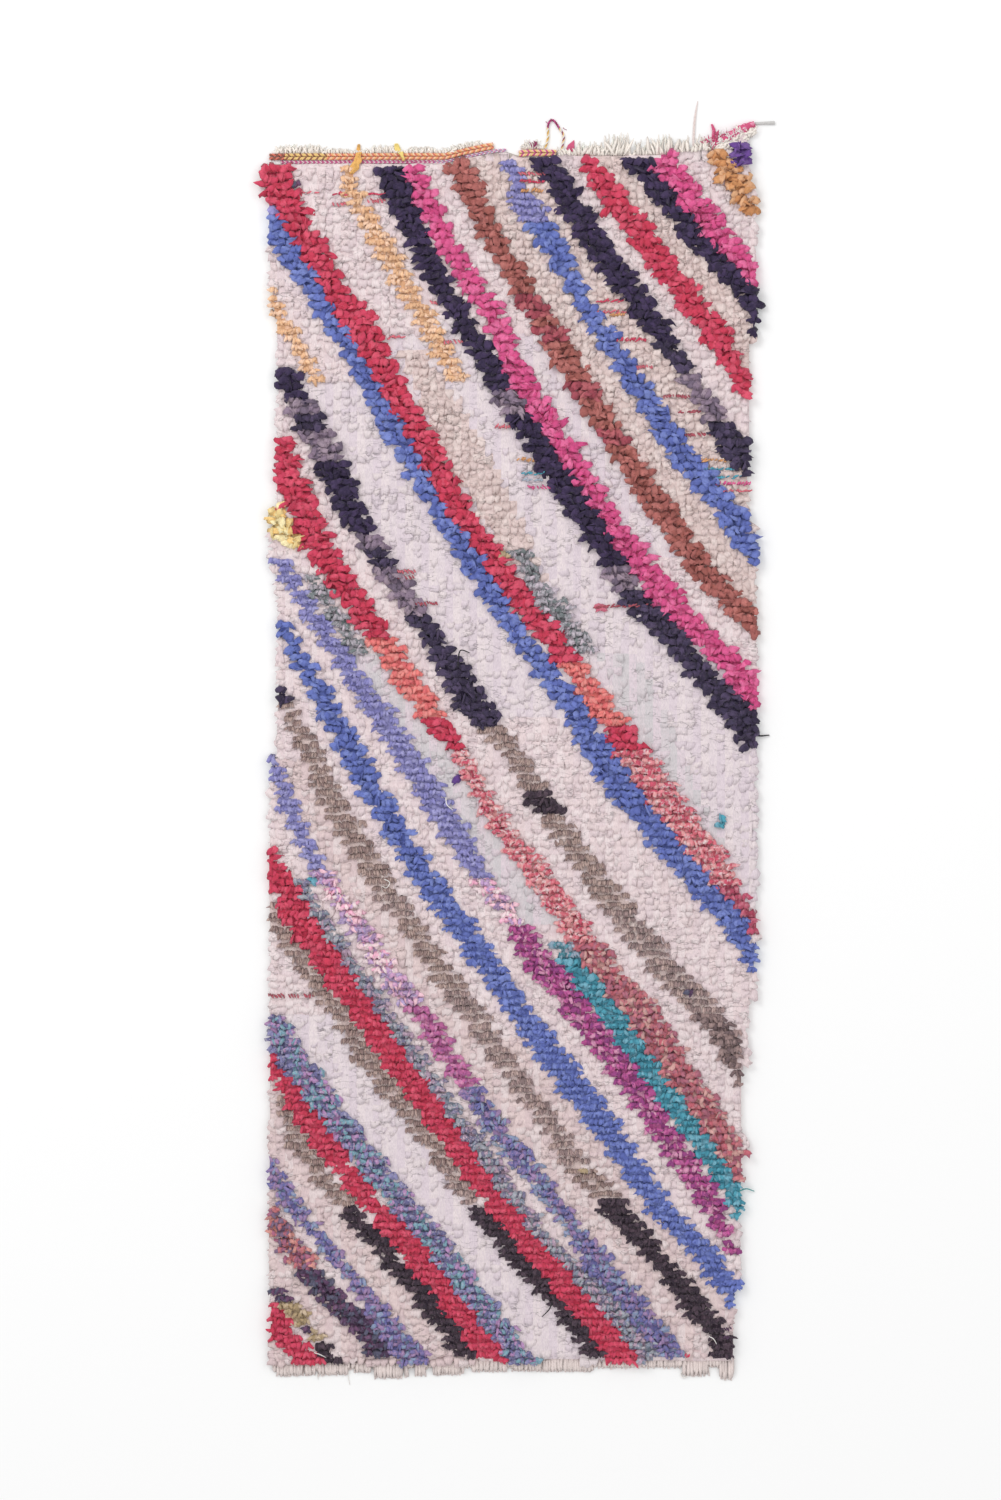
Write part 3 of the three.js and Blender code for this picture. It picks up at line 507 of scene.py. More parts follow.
def ramp(tree, value, low, high, out_low=0.0, out_high=1.0):
    node = add_node(tree, "ShaderNodeMapRange")
    node.inputs["From Min"].default_value = low
    node.inputs["From Max"].default_value = high
    node.inputs["To Min"].default_value = out_low
    node.inputs["To Max"].default_value = out_high
    tree.links.new(value, node.inputs["Value"])
    return node.outputs["Result"]


def times(tree, first, second):
    node = add_node(tree, "ShaderNodeMath", operation="MULTIPLY")
    tree.links.new(first, node.inputs[0])
    tree.links.new(second, node.inputs[1])
    return node.outputs[0]


def shaded(tree, color, value):
    """A colour made lighter or darker by a number."""
    node = add_node(tree, "ShaderNodeVectorMath", operation="SCALE")
    tree.links.new(color, node.inputs[0])
    tree.links.new(value, node.inputs["Scale"])
    return node.outputs[0]


def distance_from(tree, value, middle):
    less = add_node(tree, "ShaderNodeMath", operation="SUBTRACT")
    less.inputs[1].default_value = middle
    tree.links.new(value, less.inputs[0])
    size = add_node(tree, "ShaderNodeMath", operation="ABSOLUTE")
    tree.links.new(less.outputs[0], size.inputs[0])
    return size.outputs[0]


def mixed(tree, share, first, second):
    """Two colours mixed, with the second one's share. A colour is a socket, or red, green, blue and alpha."""
    node = add_node(tree, "ShaderNodeMix", data_type="RGBA")
    tree.links.new(share, node.inputs["Factor"])
    for color, socket in ((first, node.inputs[6]), (second, node.inputs[7])):
        if isinstance(color, tuple):
            socket.default_value = color
        else:
            tree.links.new(color, socket)
    return node.outputs[2]


def bump(tree, height, strength, distance, under=None):
    """Relief from a height, over another relief where one is given."""
    node = add_node(tree, "ShaderNodeBump")
    node.inputs["Strength"].default_value = strength
    node.inputs["Distance"].default_value = distance
    tree.links.new(height, node.inputs["Height"])
    if under is not None:
        tree.links.new(under, node.inputs["Normal"])
    return node.outputs["Normal"]


def crease_shade_lines(tree, color):
    """Painted shade: short thin dark lines across the rug, here and there, where the cloth's crease lines lie
    in shadow.
    """
    waves = noise(tree, 62, (0.55, 1.5, 1.0))
    line = ramp(tree, distance_from(tree, waves, 0.5), 0.006, 0.028)
    place = ramp(tree, noise(tree, 34, EVEN, 1.0), 0.46, 0.6, 1.0, 0.0)
    either = add_node(tree, "ShaderNodeMath", operation="MAXIMUM")
    tree.links.new(line, either.inputs[0])
    tree.links.new(place, either.inputs[1])
    return shaded(tree, color, ramp(tree, either.outputs[0], 0.0, 1.0, 0.6, 1.0))


def dyed_cloth(name, fleck_scale, fiber, weave_scale, relief, crumple=0.0, painted_root_shade=0.62, creased=False):
    """Dyed cloth or wool: flecks, fibre streaks, painted shade that darkens each tuft towards its root, and a
    fine weave, from the tufts' own dyes.
    """
    material, tree, shader = new_material(name)
    dye = add_node(tree, "ShaderNodeAttribute", attribute_name="dye")
    fleck = add_node(tree, "ShaderNodeAttribute", attribute_name="fleck")
    flecked = ramp(tree, noise(tree, fleck_scale, fiber), 0.5, 0.62)
    share = times(tree, flecked, fleck.outputs["Alpha"])
    color = mixed(tree, share, dye.outputs["Color"], fleck.outputs["Color"])
    streak = ramp(tree, noise(tree, weave_scale, fiber, 3.0), 0.3, 0.7, 0.88, 1.1)
    # Painted shade: the colour darkens towards the tuft's root, read from the share along it in the dye's
    # alpha.
    root = ramp(tree, dye.outputs["Alpha"], 0.0, 0.55, painted_root_shade, 1.0)
    color = shaded(tree, shaded(tree, color, streak), root)
    # Painted shade: thin dark lines stand in for the shadow in the cloth's crease lines.
    if creased:
        color = crease_shade_lines(tree, color)
    tree.links.new(color, shader.inputs["Base Color"])
    normal = bump(tree, noise(tree, weave_scale, fiber, 3.0), relief, 0.0012)
    if crumple:
        normal = bump(tree, noise(tree, 150, fiber), crumple, 0.004, normal)
    tree.links.new(normal, shader.inputs["Normal"])
    shader.inputs["Roughness"].default_value = ROUGHNESS
    shader.inputs["Specular IOR Level"].default_value = SPECULAR
    shader.inputs["Sheen Weight"].default_value = SHEEN
    shader.inputs["Sheen Roughness"].default_value = SHEEN_ROUGHNESS
    return material


# The ground's cotton carries the painted crease shade lines.
COTTON = dyed_cloth("cotton_ground", 170, ALONG_RUG, 420, 0.35, 0.3, creased=True)
JERSEY = dyed_cloth("jersey_rag", 150, EVEN, 500, 0.35, 0.7)
PRINTED = dyed_cloth("printed_rag", 260, EVEN, 500, 0.35, 0.7)
WOOL = dyed_cloth("hand_spun_wool", 330, EVEN, 700, 0.8)
YARN = dyed_cloth("twined_cotton", 500, EVEN, 900, 0.6)
WARP = dyed_cloth("warp_cotton", 300, EVEN, 900, 0.5, painted_root_shade=0.92)


# Forms that are laid many times: x runs 0 to 1 along the form, y across it, z through its thickness

QUAD_CORNER = 0.59  # how far a face's corners lie from the middle of its cell on the map
OTHER_CORNER = 0.42
CELL_RIM = 0.03  # share of a copy's cell on the map that stays free at each side
Form = namedtuple("Form", "points faces loops uvs share")


def taken(bm):
    """A bmesh as arrays, with each face in a cell of its own on the map, then freed."""
    bmesh.ops.recalc_face_normals(bm, faces=bm.faces)
    bm.verts.index_update()
    points = np.array([vert.co for vert in bm.verts])
    faces = [[vert.index for vert in face.verts] for face in bm.faces]
    bm.free()
    cells = math.ceil(math.sqrt(len(faces)))
    uvs = []
    for index, face in enumerate(faces):
        cell = np.array([index % cells, index // cells])
        turn = 2 * math.pi * (np.arange(len(face)) + 0.5) / len(face)
        reach = QUAD_CORNER if len(face) == 4 else OTHER_CORNER
        corners = 0.5 + reach * np.stack([np.cos(turn), np.sin(turn)], axis=-1)
        uvs.extend((cell + corners) / cells)
    # share: how far along the form each point lies, read by the materials for painted shade at the root.
    return Form(points, faces, [len(face) for face in faces], np.array(uvs), np.clip(points[:, 0], 0, 1))


def flap_form(seed, steps, across, root, tip, ruffle, ragged=0.14):
    """A flap of rag, gathered at its root, ruffled lengthwise, with an uneven end."""
    rng = np.random.default_rng(seed)
    bm = bmesh.new()
    bmesh.ops.create_grid(bm, x_segments=steps, y_segments=across, size=0.5)
    ends = rng.uniform(-ragged, ragged / 2, across + 1)
    ends[[0, -1]] -= 0.06
    folds = ruffle * rng.uniform(0.5, 1.2, (steps + 1, across + 1))
    folds[:, ::2] *= -1
    lifts = {}
    for vert in bm.verts:
        along = vert.co.x + 0.5
        side = round((vert.co.y + 0.5) * across)
        vert.co.x = along + ends[side] * along**2
        vert.co.y *= np.interp(along, [0, 0.6, 1], [root, 1.0, tip])
        lifts[level_place(vert)] = folds[round(along * steps), side] * along
    bmesh.ops.solidify(bm, geom=bm.verts[:] + bm.edges[:] + bm.faces[:], thickness=-1.0)
    for vert in bm.verts:
        vert.co.z += lifts[level_place(vert)]
    return taken(bm)


def level_place(vert):
    return tuple(round(value, 4) for value in vert.co.xy)


def rod(steps, sides):
    """A rod along x, one unit long and wide, in even steps."""
    bm = bmesh.new()
    bmesh.ops.create_cone(bm, cap_ends=True, segments=sides, radius1=0.5, radius2=0.5, depth=1.0)
    lengthwise = [edge for edge in bm.edges if abs(edge.verts[0].co.z - edge.verts[1].co.z) > 0.5]
    bmesh.ops.subdivide_edges(bm, edges=lengthwise, cuts=steps - 1, use_grid_fill=True)
    for vert in bm.verts:
        vert.co = (vert.co.z + 0.5, vert.co.y, vert.co.x)
    return bm


def lock_form(tip):
    """A lock of yarn or rolled rag: four-sided, from its root to its tip."""
    bm = rod(3, 4)
    for vert in bm.verts:
        wide = np.interp(vert.co.x, [0, 0.55, 0.85, 1], [0.8, 1.0, 0.85 + 0.15 * tip, tip])
        vert.co = (vert.co.x, vert.co.y * wide, vert.co.z * wide)
    return taken(bm)


@cache
def tube_form(steps, sides):
    return taken(rod(steps, sides))


FLAPS = [flap_form(seed, 3, 3, 0.5, 0.8, 1.5) for seed in range(6)]
SHINGLES = [flap_form(seed + 10, 2, 3, 0.85, 0.8, 0.9, 0.26) for seed in range(6)]
SCRAPS = [flap_form(seed + 20, 2, 2, 0.6, 0.7, 1.6, 0.2) for seed in range(6)]
LOCKS = [lock_form(0.2), lock_form(0.35)]
BUNDLES = [lock_form(0.55), lock_form(0.7)]


class Tufts:
    """Tufts to be laid: one row of numbers each, in mm and radians.

    x, y, z and yaw are the root's, reach the tuft's length over the rug. height is how far it rises and
    droop how far its tip falls again. curl, twist and bend shape its width, and sunk lets it lie lower.
    """

    COLUMNS = "x y z yaw reach height droop width thick curl twist bend sunk".split()

    def __init__(self):
        self.rows = []
        self.dyes = []
        self.flecks = []

    def add(self, dye, fleck, mottle, **values):
        self.rows.append([values.get(name, 0.0) for name in self.COLUMNS])
        self.dyes.append(dye)
        self.flecks.append((*fleck, mottle))

    def numbers(self):
        table = np.array(self.rows)
        return {name: table[:, k : k + 1] for k, name in enumerate(self.COLUMNS)}


def laid(form, n):
    """The form's points on every tuft: up from the root, over its peak and down to its tip."""
    along = form.points[:, 0]
    early = np.minimum(along / PEAK, 1.0)
    late = np.clip((along - PEAK) / (1 - PEAK), 0, None)
    rise = n["height"] * (1 - (1 - early) ** 2) - n["droop"] * late**2
    slope = np.where(along < PEAK, n["height"] * 2 * (1 - early) / PEAK, -n["droop"] * 2 * late / (1 - PEAK))
    length = np.hypot(n["reach"], slope)
    across = n["width"] * form.points[:, 1]
    lift = n["thick"] * form.points[:, 2] - n["curl"] * (2 * form.points[:, 1]) ** 2
    angle = n["twist"] * along
    turned = across * np.cos(angle) - lift * np.sin(angle)
    lift = across * np.sin(angle) + lift * np.cos(angle)
    across = turned + n["bend"] * along**2
    forward = n["reach"] * along - lift * slope / length
    x = n["x"] + forward * np.cos(n["yaw"]) - across * np.sin(n["yaw"])
    y = n["y"] + forward * np.sin(n["yaw"]) + across * np.cos(n["yaw"])
    z = n["z"] + rise + lift * n["reach"] / length
    return np.stack([x, y, np.clip(z, CLOTH_THICKNESS + GAP - n["sunk"], TALLEST)], axis=-1) * MM


def joined(name, forms, copies, dyes, flecks, material, slot):
    """One mesh of many copies. forms and copies go in pairs: a form, and its points for every copy of it."""
    points, faces, uvs, colors, marks = [], [], [], [], []
    cells = math.ceil(math.sqrt(sum(len(placed) for placed in copies)))
    start = 0
    first = 0
    for form, placed, dye, fleck in zip(forms, copies, dyes, flecks):
        count, size = placed.shape[:2]
        points.append(placed.reshape(-1, 3))
        for copy in range(count):
            base = start + copy * size
            faces.extend([base + corner for corner in face] for face in form.faces)
        order = np.arange(first, first + count)
        cell = np.stack([order % cells, order // cells], axis=-1)[:, None, :]
        uvs.append(((cell + CELL_RIM + (1 - 2 * CELL_RIM) * form.uvs[None]) / cells).reshape(-1, 2))
        # The dye's alpha is the share along the form, which the materials read for painted shade at the root.
        share = np.broadcast_to(form.share[None, :, None], (count, size, 1))
        dye = dye[:, None, :] if dye.ndim == 2 else dye
        dye = np.broadcast_to(dye, (count, size, 3))
        colors.append(np.concatenate([dye, share], axis=-1).reshape(-1, 4))
        marks.append(np.broadcast_to(fleck[:, None, :], (count, size, 4)).reshape(-1, 4))
        start += count * size
        first += count
    mesh = bpy.data.meshes.new(name)
    mesh.from_pydata(np.concatenate(points).tolist(), [], faces)
    for attribute, values in (("dye", colors), ("fleck", marks)):
        layer = mesh.color_attributes.new(attribute, "FLOAT_COLOR", "POINT")
        layer.data.foreach_set("color", np.concatenate(values).astype(np.float32).ravel())
    layer = mesh.uv_layers.new(name="OFBake")
    layer.data.foreach_set("uv", np.concatenate(uvs).astype(np.float32).ravel())
    return finished(name, mesh, material)


def tuft_piece(name, tufts, forms, material, slot, seed):
    """Lays a piece's tufts, each in one of the forms."""
    rng = np.random.default_rng(seed)
    choice = rng.integers(0, len(forms), len(tufts.rows))
    dyes = np.array(tufts.dyes)
    flecks = np.array(tufts.flecks)
    numbers = tufts.numbers()
    parts = []
    for k, form in enumerate(forms):
        chosen = choice == k
        if chosen.any():
            picked = {key: values[chosen] for key, values in numbers.items()}
            parts.append((form, laid(form, picked), dyes[chosen], flecks[chosen]))
    return joined(name, *zip(*parts), material, slot)


# The knots

# Cuts: how a knot's ends are shaped. apart: mm between its outer ends. spread and fan in radians.
Cut = namedtuple("Cut", "forms ends apart reach width thick height droop curl spread fan")
CUTS = {
    "petal": Cut(FLAPS, 2, 6.5, (17, 24), (12, 18), 1.2, (9, 15), (0, 6), (-2, 4), 0.8, 1.1),
    "small_petal": Cut(FLAPS, 2, 7, (15, 21), (11, 15), 1.1, (9, 13), (0, 5), (-2, 3.5), 0.8, 1.0),
    "fine_rag": Cut(SCRAPS, 4, 10.5, (13, 19), (6, 9.5), 1.2, (8.5, 12), (0, 4), (-2, 3), 0.6, 0.8),
    "curl": Cut(SCRAPS, 4, 10, (14, 20), (8, 12), 1.4, (9, 13), (0, 4), (-2, 3), 0.8, 1.0),
    "strand": Cut(SCRAPS, 4, 10, (14, 20), (7, 11), 1.4, (9, 13), (0, 4), (-2, 3), 0.8, 1.0),
    "tooth": Cut(LOCKS, 4, 11.5, (10, 13.5), (3.8, 6), 3.4, (8.2, 10.8), (0, 1.5), (0, 0), 0.32, 0.16),
    "ground": Cut(SHINGLES, 1, 0, (16, 28), (12, 24), 0.8, (6.8, 7.9), (0, 0.8), (-0.2, 0.7), 0.22, 0.0),
    "rough_ground": Cut(
        SHINGLES, 1, 0, (15, 26), (11, 21), 0.9, (7.2, 9.2), (0, 1.4), (-0.2, 1.2), 0.34, 0.0),
    "worn": Cut(SHINGLES, 1, 0, (17, 28), (12, 24), 0.6, (6.3, 6.9), (0, 0.4), (-0.2, 0.4), 0.16, 0.0),
}
TO_FOOT = -math.pi / 2
BIG_ROWS = (45, 75)  # between these rows the rag flaps change from long to short
FINE_ROWS = (82, 108)  # and between these from short to fine
HEAD_STAND = 1.08  # how much higher the ground's flaps stand in the head's rows
CENTERED = 0.6  # share of a tuft's length that lies before its knot's middle
OUTWARD_LEAN = 0.1  # how far the knots at a stripe's edges lean out of it, in radians
OVER_EDGE = 3  # mm that a knot's middle may lie past a selvedge
RAG_CHANGE = 0.09  # share by which a rag is lighter or darker than its dye
GROUND_CHANGE = 0.03


def outline_at(y):
    return between(LEFT_SELVEDGE, y), between(RIGHT_SELVEDGE, y)


def span_at(edges, row):
    """Where a stripe or patch starts and ends in a pile row, or None in the rows that it doesn't reach."""
    rows, firsts, lasts = zip(*edges)
    if rows[0] <= row <= rows[-1]:
        return np.interp(row, rows, firsts), np.interp(row, rows, lasts)
    return None


def stripe_at(row, knot):
    """The stripe that a knot is in, its fabric, and where it is across the stripe, from -1 to 1."""
    beside = section(SELVEDGE_GROUND, row)
    nearest = -math.inf
    for stripe in STRIPES:
        span = span_at(stripe.edges, row)
        if span and span[0] <= knot < span[1]:
            return stripe, section(stripe.fabrics, row), 2 * (knot - span[0]) / (span[1] - span[0]) - 1
        if span and nearest < span[1] <= knot:
            nearest = span[1]
            beside = section(stripe.beside, row)
    for fabric, edges in GROUND_PATCHES:
        span = span_at(edges, row)
        if span and span[0] <= knot < span[1]:
            beside = fabric
    return None, beside, 0


# A knot: its stripe, its fabric, where it is across the stripe, and which selvedge it is at, -1 or 1
Knot = namedtuple("Knot", "stripe fabric across side")
STRAY = Stripe("stray_knots", "mixed_rag", [], [], [])


def knot_chart():
    """Every knot of the rug, by its row and its number in the row."""
    chart = {}
    last_row = int((FIRST_ROW - FOOT_LINE) / KNOT)
    for row in range(-HEAD_ROWS, last_row + 1):
        y = row_y(row + 0.5)
        left, right = outline_at(y)
        knots = range(int((left - FIRST_KNOT) / KNOT), int((right - FIRST_KNOT) / KNOT) + 1)
        inside = []
        for knot in knots:
            x = knot_x(knot + 0.5)
            if left - OVER_EDGE < x < right + OVER_EDGE and foot_y(x) < y < head_y(x):
                inside.append(knot)
        for knot in inside:
            side = -1 if knot == inside[0] else int(knot == inside[-1])
            stripe, fabric, across = stripe_at(row + 0.5, knot + 0.5)
            if (row, knot) in STRAY_KNOTS:
                stripe, fabric = STRAY, STRAY_KNOTS[row, knot]
            chart[row, knot] = Knot(stripe, fabric, across, side)
    return chart


def dyes_of(fabric, rng):
    """A dye for one end of a knot, a little lighter or darker than the next."""
    dye = linear(fabric.dyes[rng.integers(0, len(fabric.dyes))])
    change = GROUND_CHANGE if fabric.cut in LOOSE_FLAPS else RAG_CHANGE
    return dye * rng.uniform(1 - change, 1 + change)


def rag_size(cut, row, rng):
    """How a knot's rag is cut: the head's rags are long flaps, the foot's are fine."""
    if cut == "petal" and rng.uniform(*BIG_ROWS) < row:
        return "fine_rag" if rng.uniform(*FINE_ROWS) < row else "small_petal"
    return cut


def tie_knot(tufts, place, knot, style, rng):
    """Ties one knot: its ends lean to the foot, fanned out to its sides."""
    row, number = place
    fabric = FABRICS[knot.fabric]
    cut = CUTS[style]
    x = knot_x(number + 0.5) + rng.normal(0, 1.5)
    y = row_y(row + 0.5) + rng.normal(0, 2.0 if knot.stripe else 2.6)
    lean = rng.normal(0, cut.spread / 2) + OUTWARD_LEAN * knot.across * abs(knot.across)
    length = rng.uniform(*cut.reach)
    if style == "tooth":
        length *= 1.08 + 0.24 * math.sin(1.9 * row + number / 9)
    stand = HEAD_STAND if not knot.stripe and row < BIG_ROWS[0] else 1.0
    for end in range(cut.ends):
        spot = (end - (cut.ends - 1) / 2) / max(cut.ends - 1, 1)
        yaw = TO_FOOT + lean + 2 * cut.fan * spot + rng.normal(0, cut.spread / 2)
        if knot.side and end == (0 if knot.side < 0 else cut.ends - 1):
            yaw = (math.pi + 0.5 if knot.side < 0 else -0.5) + rng.normal(0, 0.35)
        reach = length * rng.uniform(0.9, 1.1)
        root_y = y - reach * CENTERED * math.sin(yaw)
        if not knot.stripe:
            root_y = min(root_y, head_y(x) + (-2 if x < SHORT_CORD[-1][0] else 5))
        tufts.add(
            dyes_of(fabric, rng), linear(fabric.fleck), fabric.mottle * rng.uniform(0.5, 1.5),
            x=x + spot * cut.apart - reach * CENTERED * math.cos(yaw), y=root_y, z=TUFT_ROOT,
            yaw=yaw, reach=reach, height=stand * rng.uniform(*cut.height), droop=rng.uniform(*cut.droop),
            width=rng.uniform(*cut.width), thick=cut.thick, curl=rng.uniform(*cut.curl),
            twist=rng.normal(0, cut.spread), bend=rng.normal(0, 6 * cut.spread),
        )


SLOT_MATERIALS = {"wool": WOOL, "mixed_rag": PRINTED, "violet_rag": PRINTED}
GROUND_BANDS = 4
# The share of the ground's knots with a flap over their collars
LOOSE_FLAPS = {"ground": 0.8, "rough_ground": 1.0, "worn": 0.4}


def tie_pile(chart):
    """Ties all knots: a piece for each kind of rag, and the ground in bands from the head to the foot."""
    rng = np.random.default_rng(7)
    piles = {}
    rows = (FIRST_ROW - FOOT_LINE) / KNOT
    for place, knot in chart.items():
        band = min(int(max(place[0], 0) / rows * GROUND_BANDS), GROUND_BANDS - 1)
        cut = rag_size(FABRICS[knot.fabric].cut, place[0], rng) if knot.stripe else "ground"
        key = (knot.stripe.slot if knot.stripe else f"ground_pile_{band + 1}", cut)
        if knot.stripe or knot.side or rng.random() < LOOSE_FLAPS[FABRICS[knot.fabric].cut]:
            style = cut if knot.stripe else FABRICS[knot.fabric].cut
            tie_knot(piles.setdefault(key, Tufts()), place, knot, style, rng)
    for seed, ((slot, cut), tufts) in enumerate(piles.items()):
        ground = slot.startswith("ground")
        name = slot if ground else f"{slot}_{cut}"
        material = COTTON if ground else SLOT_MATERIALS.get(slot, JERSEY)
        if cut == "tooth":
            material = WOOL
        tuft_piece(name, tufts, CUTS[cut].forms, material, "ground_rag" if ground else slot, seed)


def knot_at(chart, x, y):
    """The knot whose collar lies at a place, or the nearest in its row."""
    number = math.floor((x - FIRST_KNOT) / KNOT)
    row = math.floor((FIRST_ROW - y) / KNOT)
    return chart.get((row, number)) or chart.get((row, number - 1)) or chart.get((row, number + 1))


def bed_color(chart, x, y):
    """The dye of a collar: the ground's at a stripe's very edge and under banded wool."""
    near = [knot_at(chart, x + across, y + along) for across, along in COLLAR_EDGES]
    knot = next((other for other in near if other and not other.stripe), near[0])
    fabric = FABRICS[knot.fabric if knot and knot.stripe is not STRAY else "pinkish"]
    if fabric.cut == "tooth":
        fabric = FABRICS["beige"]
    return linear(fabric.dyes[int(x / KNOT) % len(fabric.dyes)]), linear(fabric.fleck)


COLLAR_EDGES = [(0, 0), (4.6, 0), (-4.6, 0), (0, 3.2), (0, -3.2)]  # mm from a collar's middle, x and y
RIDGE = [(0, 0), (0.34, 1.3), (0.67, 1.9), (1, 1.9)]  # share of a pile row, and mm of height over its start


def collar_height(chart, x, y, rng):
    """How high the knots' collars lie at a place, in mm: in ridges, a ridge for each row."""
    row = (FIRST_ROW - y) / KNOT
    knot = chart.get((math.floor(row + 0.02), math.floor((x - FIRST_KNOT) / KNOT)))
    if knot and knot.stripe:
        return BED + rng.uniform(0, 2.4) - 2.0 * (FABRICS[knot.fabric].cut == "tooth")
    ridge = between(RIDGE, (row + 0.02) % 1.0)
    if knot and FABRICS[knot.fabric].cut == "worn":
        ridge *= 0.6
    from_end = min(head_y(x) - y, y - foot_y(x)) / KNOT
    height = BED + 1.0 + ridge + rng.uniform(-0.3, 0.3)
    return END_HEIGHT + (height - END_HEIGHT) * min(max(from_end, 0), 1)


def reach_to_ends(ends, x, y):
    """How far a collar moves so that the outermost rows end at the head and the foot of the cloth."""
    beside = [ends.get(math.floor((x + side - FIRST_KNOT) / KNOT)) for side in (-1, 1)]
    beside = [pair for pair in beside if pair]
    first = row_y(min(pair[0] for pair in beside))
    last = row_y(max(pair[1] for pair in beside) + 1)
    move = 0.0
    for edge, target, inward in ((first, head_y(x), first - y), (last, foot_y(x), y - last)):
        if abs(target - edge) < 1.5 * KNOT:
            move += (target - edge) * min(max(1 - inward / KNOT, 0), 1)
    return move


def make_bed(chart):
    """The knots' collars, side by side round the warp: a low ridged bed under and between the tufts."""
    rows = [row for row, _ in chart]
    numbers = [number for _, number in chart]
    low, high = min(numbers), max(numbers) + 1
    top, bottom = min(rows), max(rows) + 1
    ends = {}
    for row, number in chart:
        first, last = ends.get(number, (row, row))
        ends[number] = (min(first, row), max(last, row))
    rng = np.random.default_rng(3)
    bm = bmesh.new()
    bmesh.ops.create_grid(bm, x_segments=(high - low) * 2, y_segments=(bottom - top) * 3, size=0.5)
    for vert in bm.verts:
        x = knot_x(low + (vert.co.x + 0.5) * (high - low))
        y = row_y(top + (0.5 - vert.co.y) * (bottom - top))
        vert.co = (x, y, collar_height(chart, x, y, rng))
    off = []
    for face in bm.faces:
        middle = face.calc_center_median()
        cell = (math.floor((FIRST_ROW - middle.y) / KNOT), math.floor((middle.x - FIRST_KNOT) / KNOT))
        if cell not in chart:
            off.append(face)
    bmesh.ops.delete(bm, geom=off, context="FACES")
    rim = [edge for edge in bm.edges if edge.is_boundary]
    for item in bmesh.ops.extrude_edge_only(bm, edges=rim)["geom"]:
        if isinstance(item, bmesh.types.BMVert):
            item.co.z = CLOTH_THICKNESS + GAP
    bmesh.ops.contextual_create(bm, geom=[edge for edge in bm.edges if edge.is_boundary])
    for vert in bm.verts:
        wave = 1.6 * math.sin(vert.co.x / 31 + vert.co.y / 57) + rng.normal(0, 0.5)
        vert.co.y += reach_to_ends(ends, vert.co.x, vert.co.y)
        left, right = outline_at(vert.co.y)
        vert.co.x = min(max(vert.co.x, left + 1), right - 1)
        vert.co.y = min(max(vert.co.y + wave, foot_y(vert.co.x)), head_y(vert.co.x))
        vert.co *= MM
    bmesh.ops.recalc_face_normals(bm, faces=bm.faces)
    mesh = mesh_of(bm, "knot_collars")
    dye = mesh.color_attributes.new("dye", "FLOAT_COLOR", "CORNER")
    fleck = mesh.color_attributes.new("fleck", "FLOAT_COLOR", "CORNER")
    for face in mesh.polygons:
        color, mark = bed_color(chart, face.center.x / MM, face.center.y / MM)
        shade = rng.uniform(0.96, 1.03)
        for corner in face.loop_indices:
            dye.data[corner].color = (*(color * shade), 1.0)
            fleck.data[corner].color = (*mark, 0.3)
    return finished("knot_collars", mesh, COTTON)


def finished(name, mesh, material):
    """A piece made of a mesh, riding on the rug."""
    mesh.shade_smooth()
    mesh.materials.append(material)
    piece = bpy.data.objects.new(name, mesh)
    bpy.context.collection.objects.link(piece)
    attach(piece, "root")
    return piece


# The woven foundation

CLOTH_COLUMNS = 28
CLOTH_ROWS = 70
CLOTH_INSET = 4  # mm inside the pile's edge


def make_foundation():
    """A thin closed cloth with the rug's outline, flat on the floor."""
    bm = bmesh.new()
    bmesh.ops.create_grid(bm, x_segments=CLOTH_COLUMNS, y_segments=CLOTH_ROWS, size=0.5)
    for vert in bm.verts:
        down = 0.5 - vert.co.y
        nominal = FIRST_ROW + (FOOT_LINE - FIRST_ROW) * down
        left, right = outline_at(nominal)
        x = left + CLOTH_INSET + (right - left - 2 * CLOTH_INSET) * (vert.co.x + 0.5)
        y = nominal + (head_y(x) - FIRST_ROW) * (1 - down) ** 6 + (foot_y(x) - FOOT_LINE) * down**6
        vert.co = (x * MM, y * MM, CLOTH_THICKNESS * MM)
    bmesh.ops.solidify(bm, geom=bm.verts[:] + bm.edges[:] + bm.faces[:], thickness=CLOTH_THICKNESS * MM)
    bmesh.ops.recalc_face_normals(bm, faces=bm.faces)
    cloth = finished("foundation_cloth", mesh_of(bm, "foundation_cloth"), woven_cloth())
    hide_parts("pile_field")
    return cloth


def woven_cloth():
    """Plain weave of beige warp and weft."""
    material, tree, shader = new_material("plain_weave")
    place = add_node(tree, "ShaderNodeTexCoord")
    waves = []
    for direction in ("X", "Y"):
        wave = add_node(tree, "ShaderNodeTexWave", bands_direction=direction)
        wave.inputs["Scale"].default_value = 130
        wave.inputs["Distortion"].default_value = 1.5
        tree.links.new(place.outputs["Object"], wave.inputs["Vector"])
        waves.append(wave.outputs["Fac"])
    weave = times(tree, *waves)
    dark = (*linear((196, 184, 176)), 1)
    pale = (*linear((226, 216, 210)), 1)
    tree.links.new(mixed(tree, ramp(tree, weave, 0.1, 0.6), dark, pale), shader.inputs["Base Color"])
    tree.links.new(bump(tree, weave, 1.0, 0.0008), shader.inputs["Normal"])
    shader.inputs["Roughness"].default_value = 0.92
    return material


# Cords, fringes and threads: tubes swept along routes

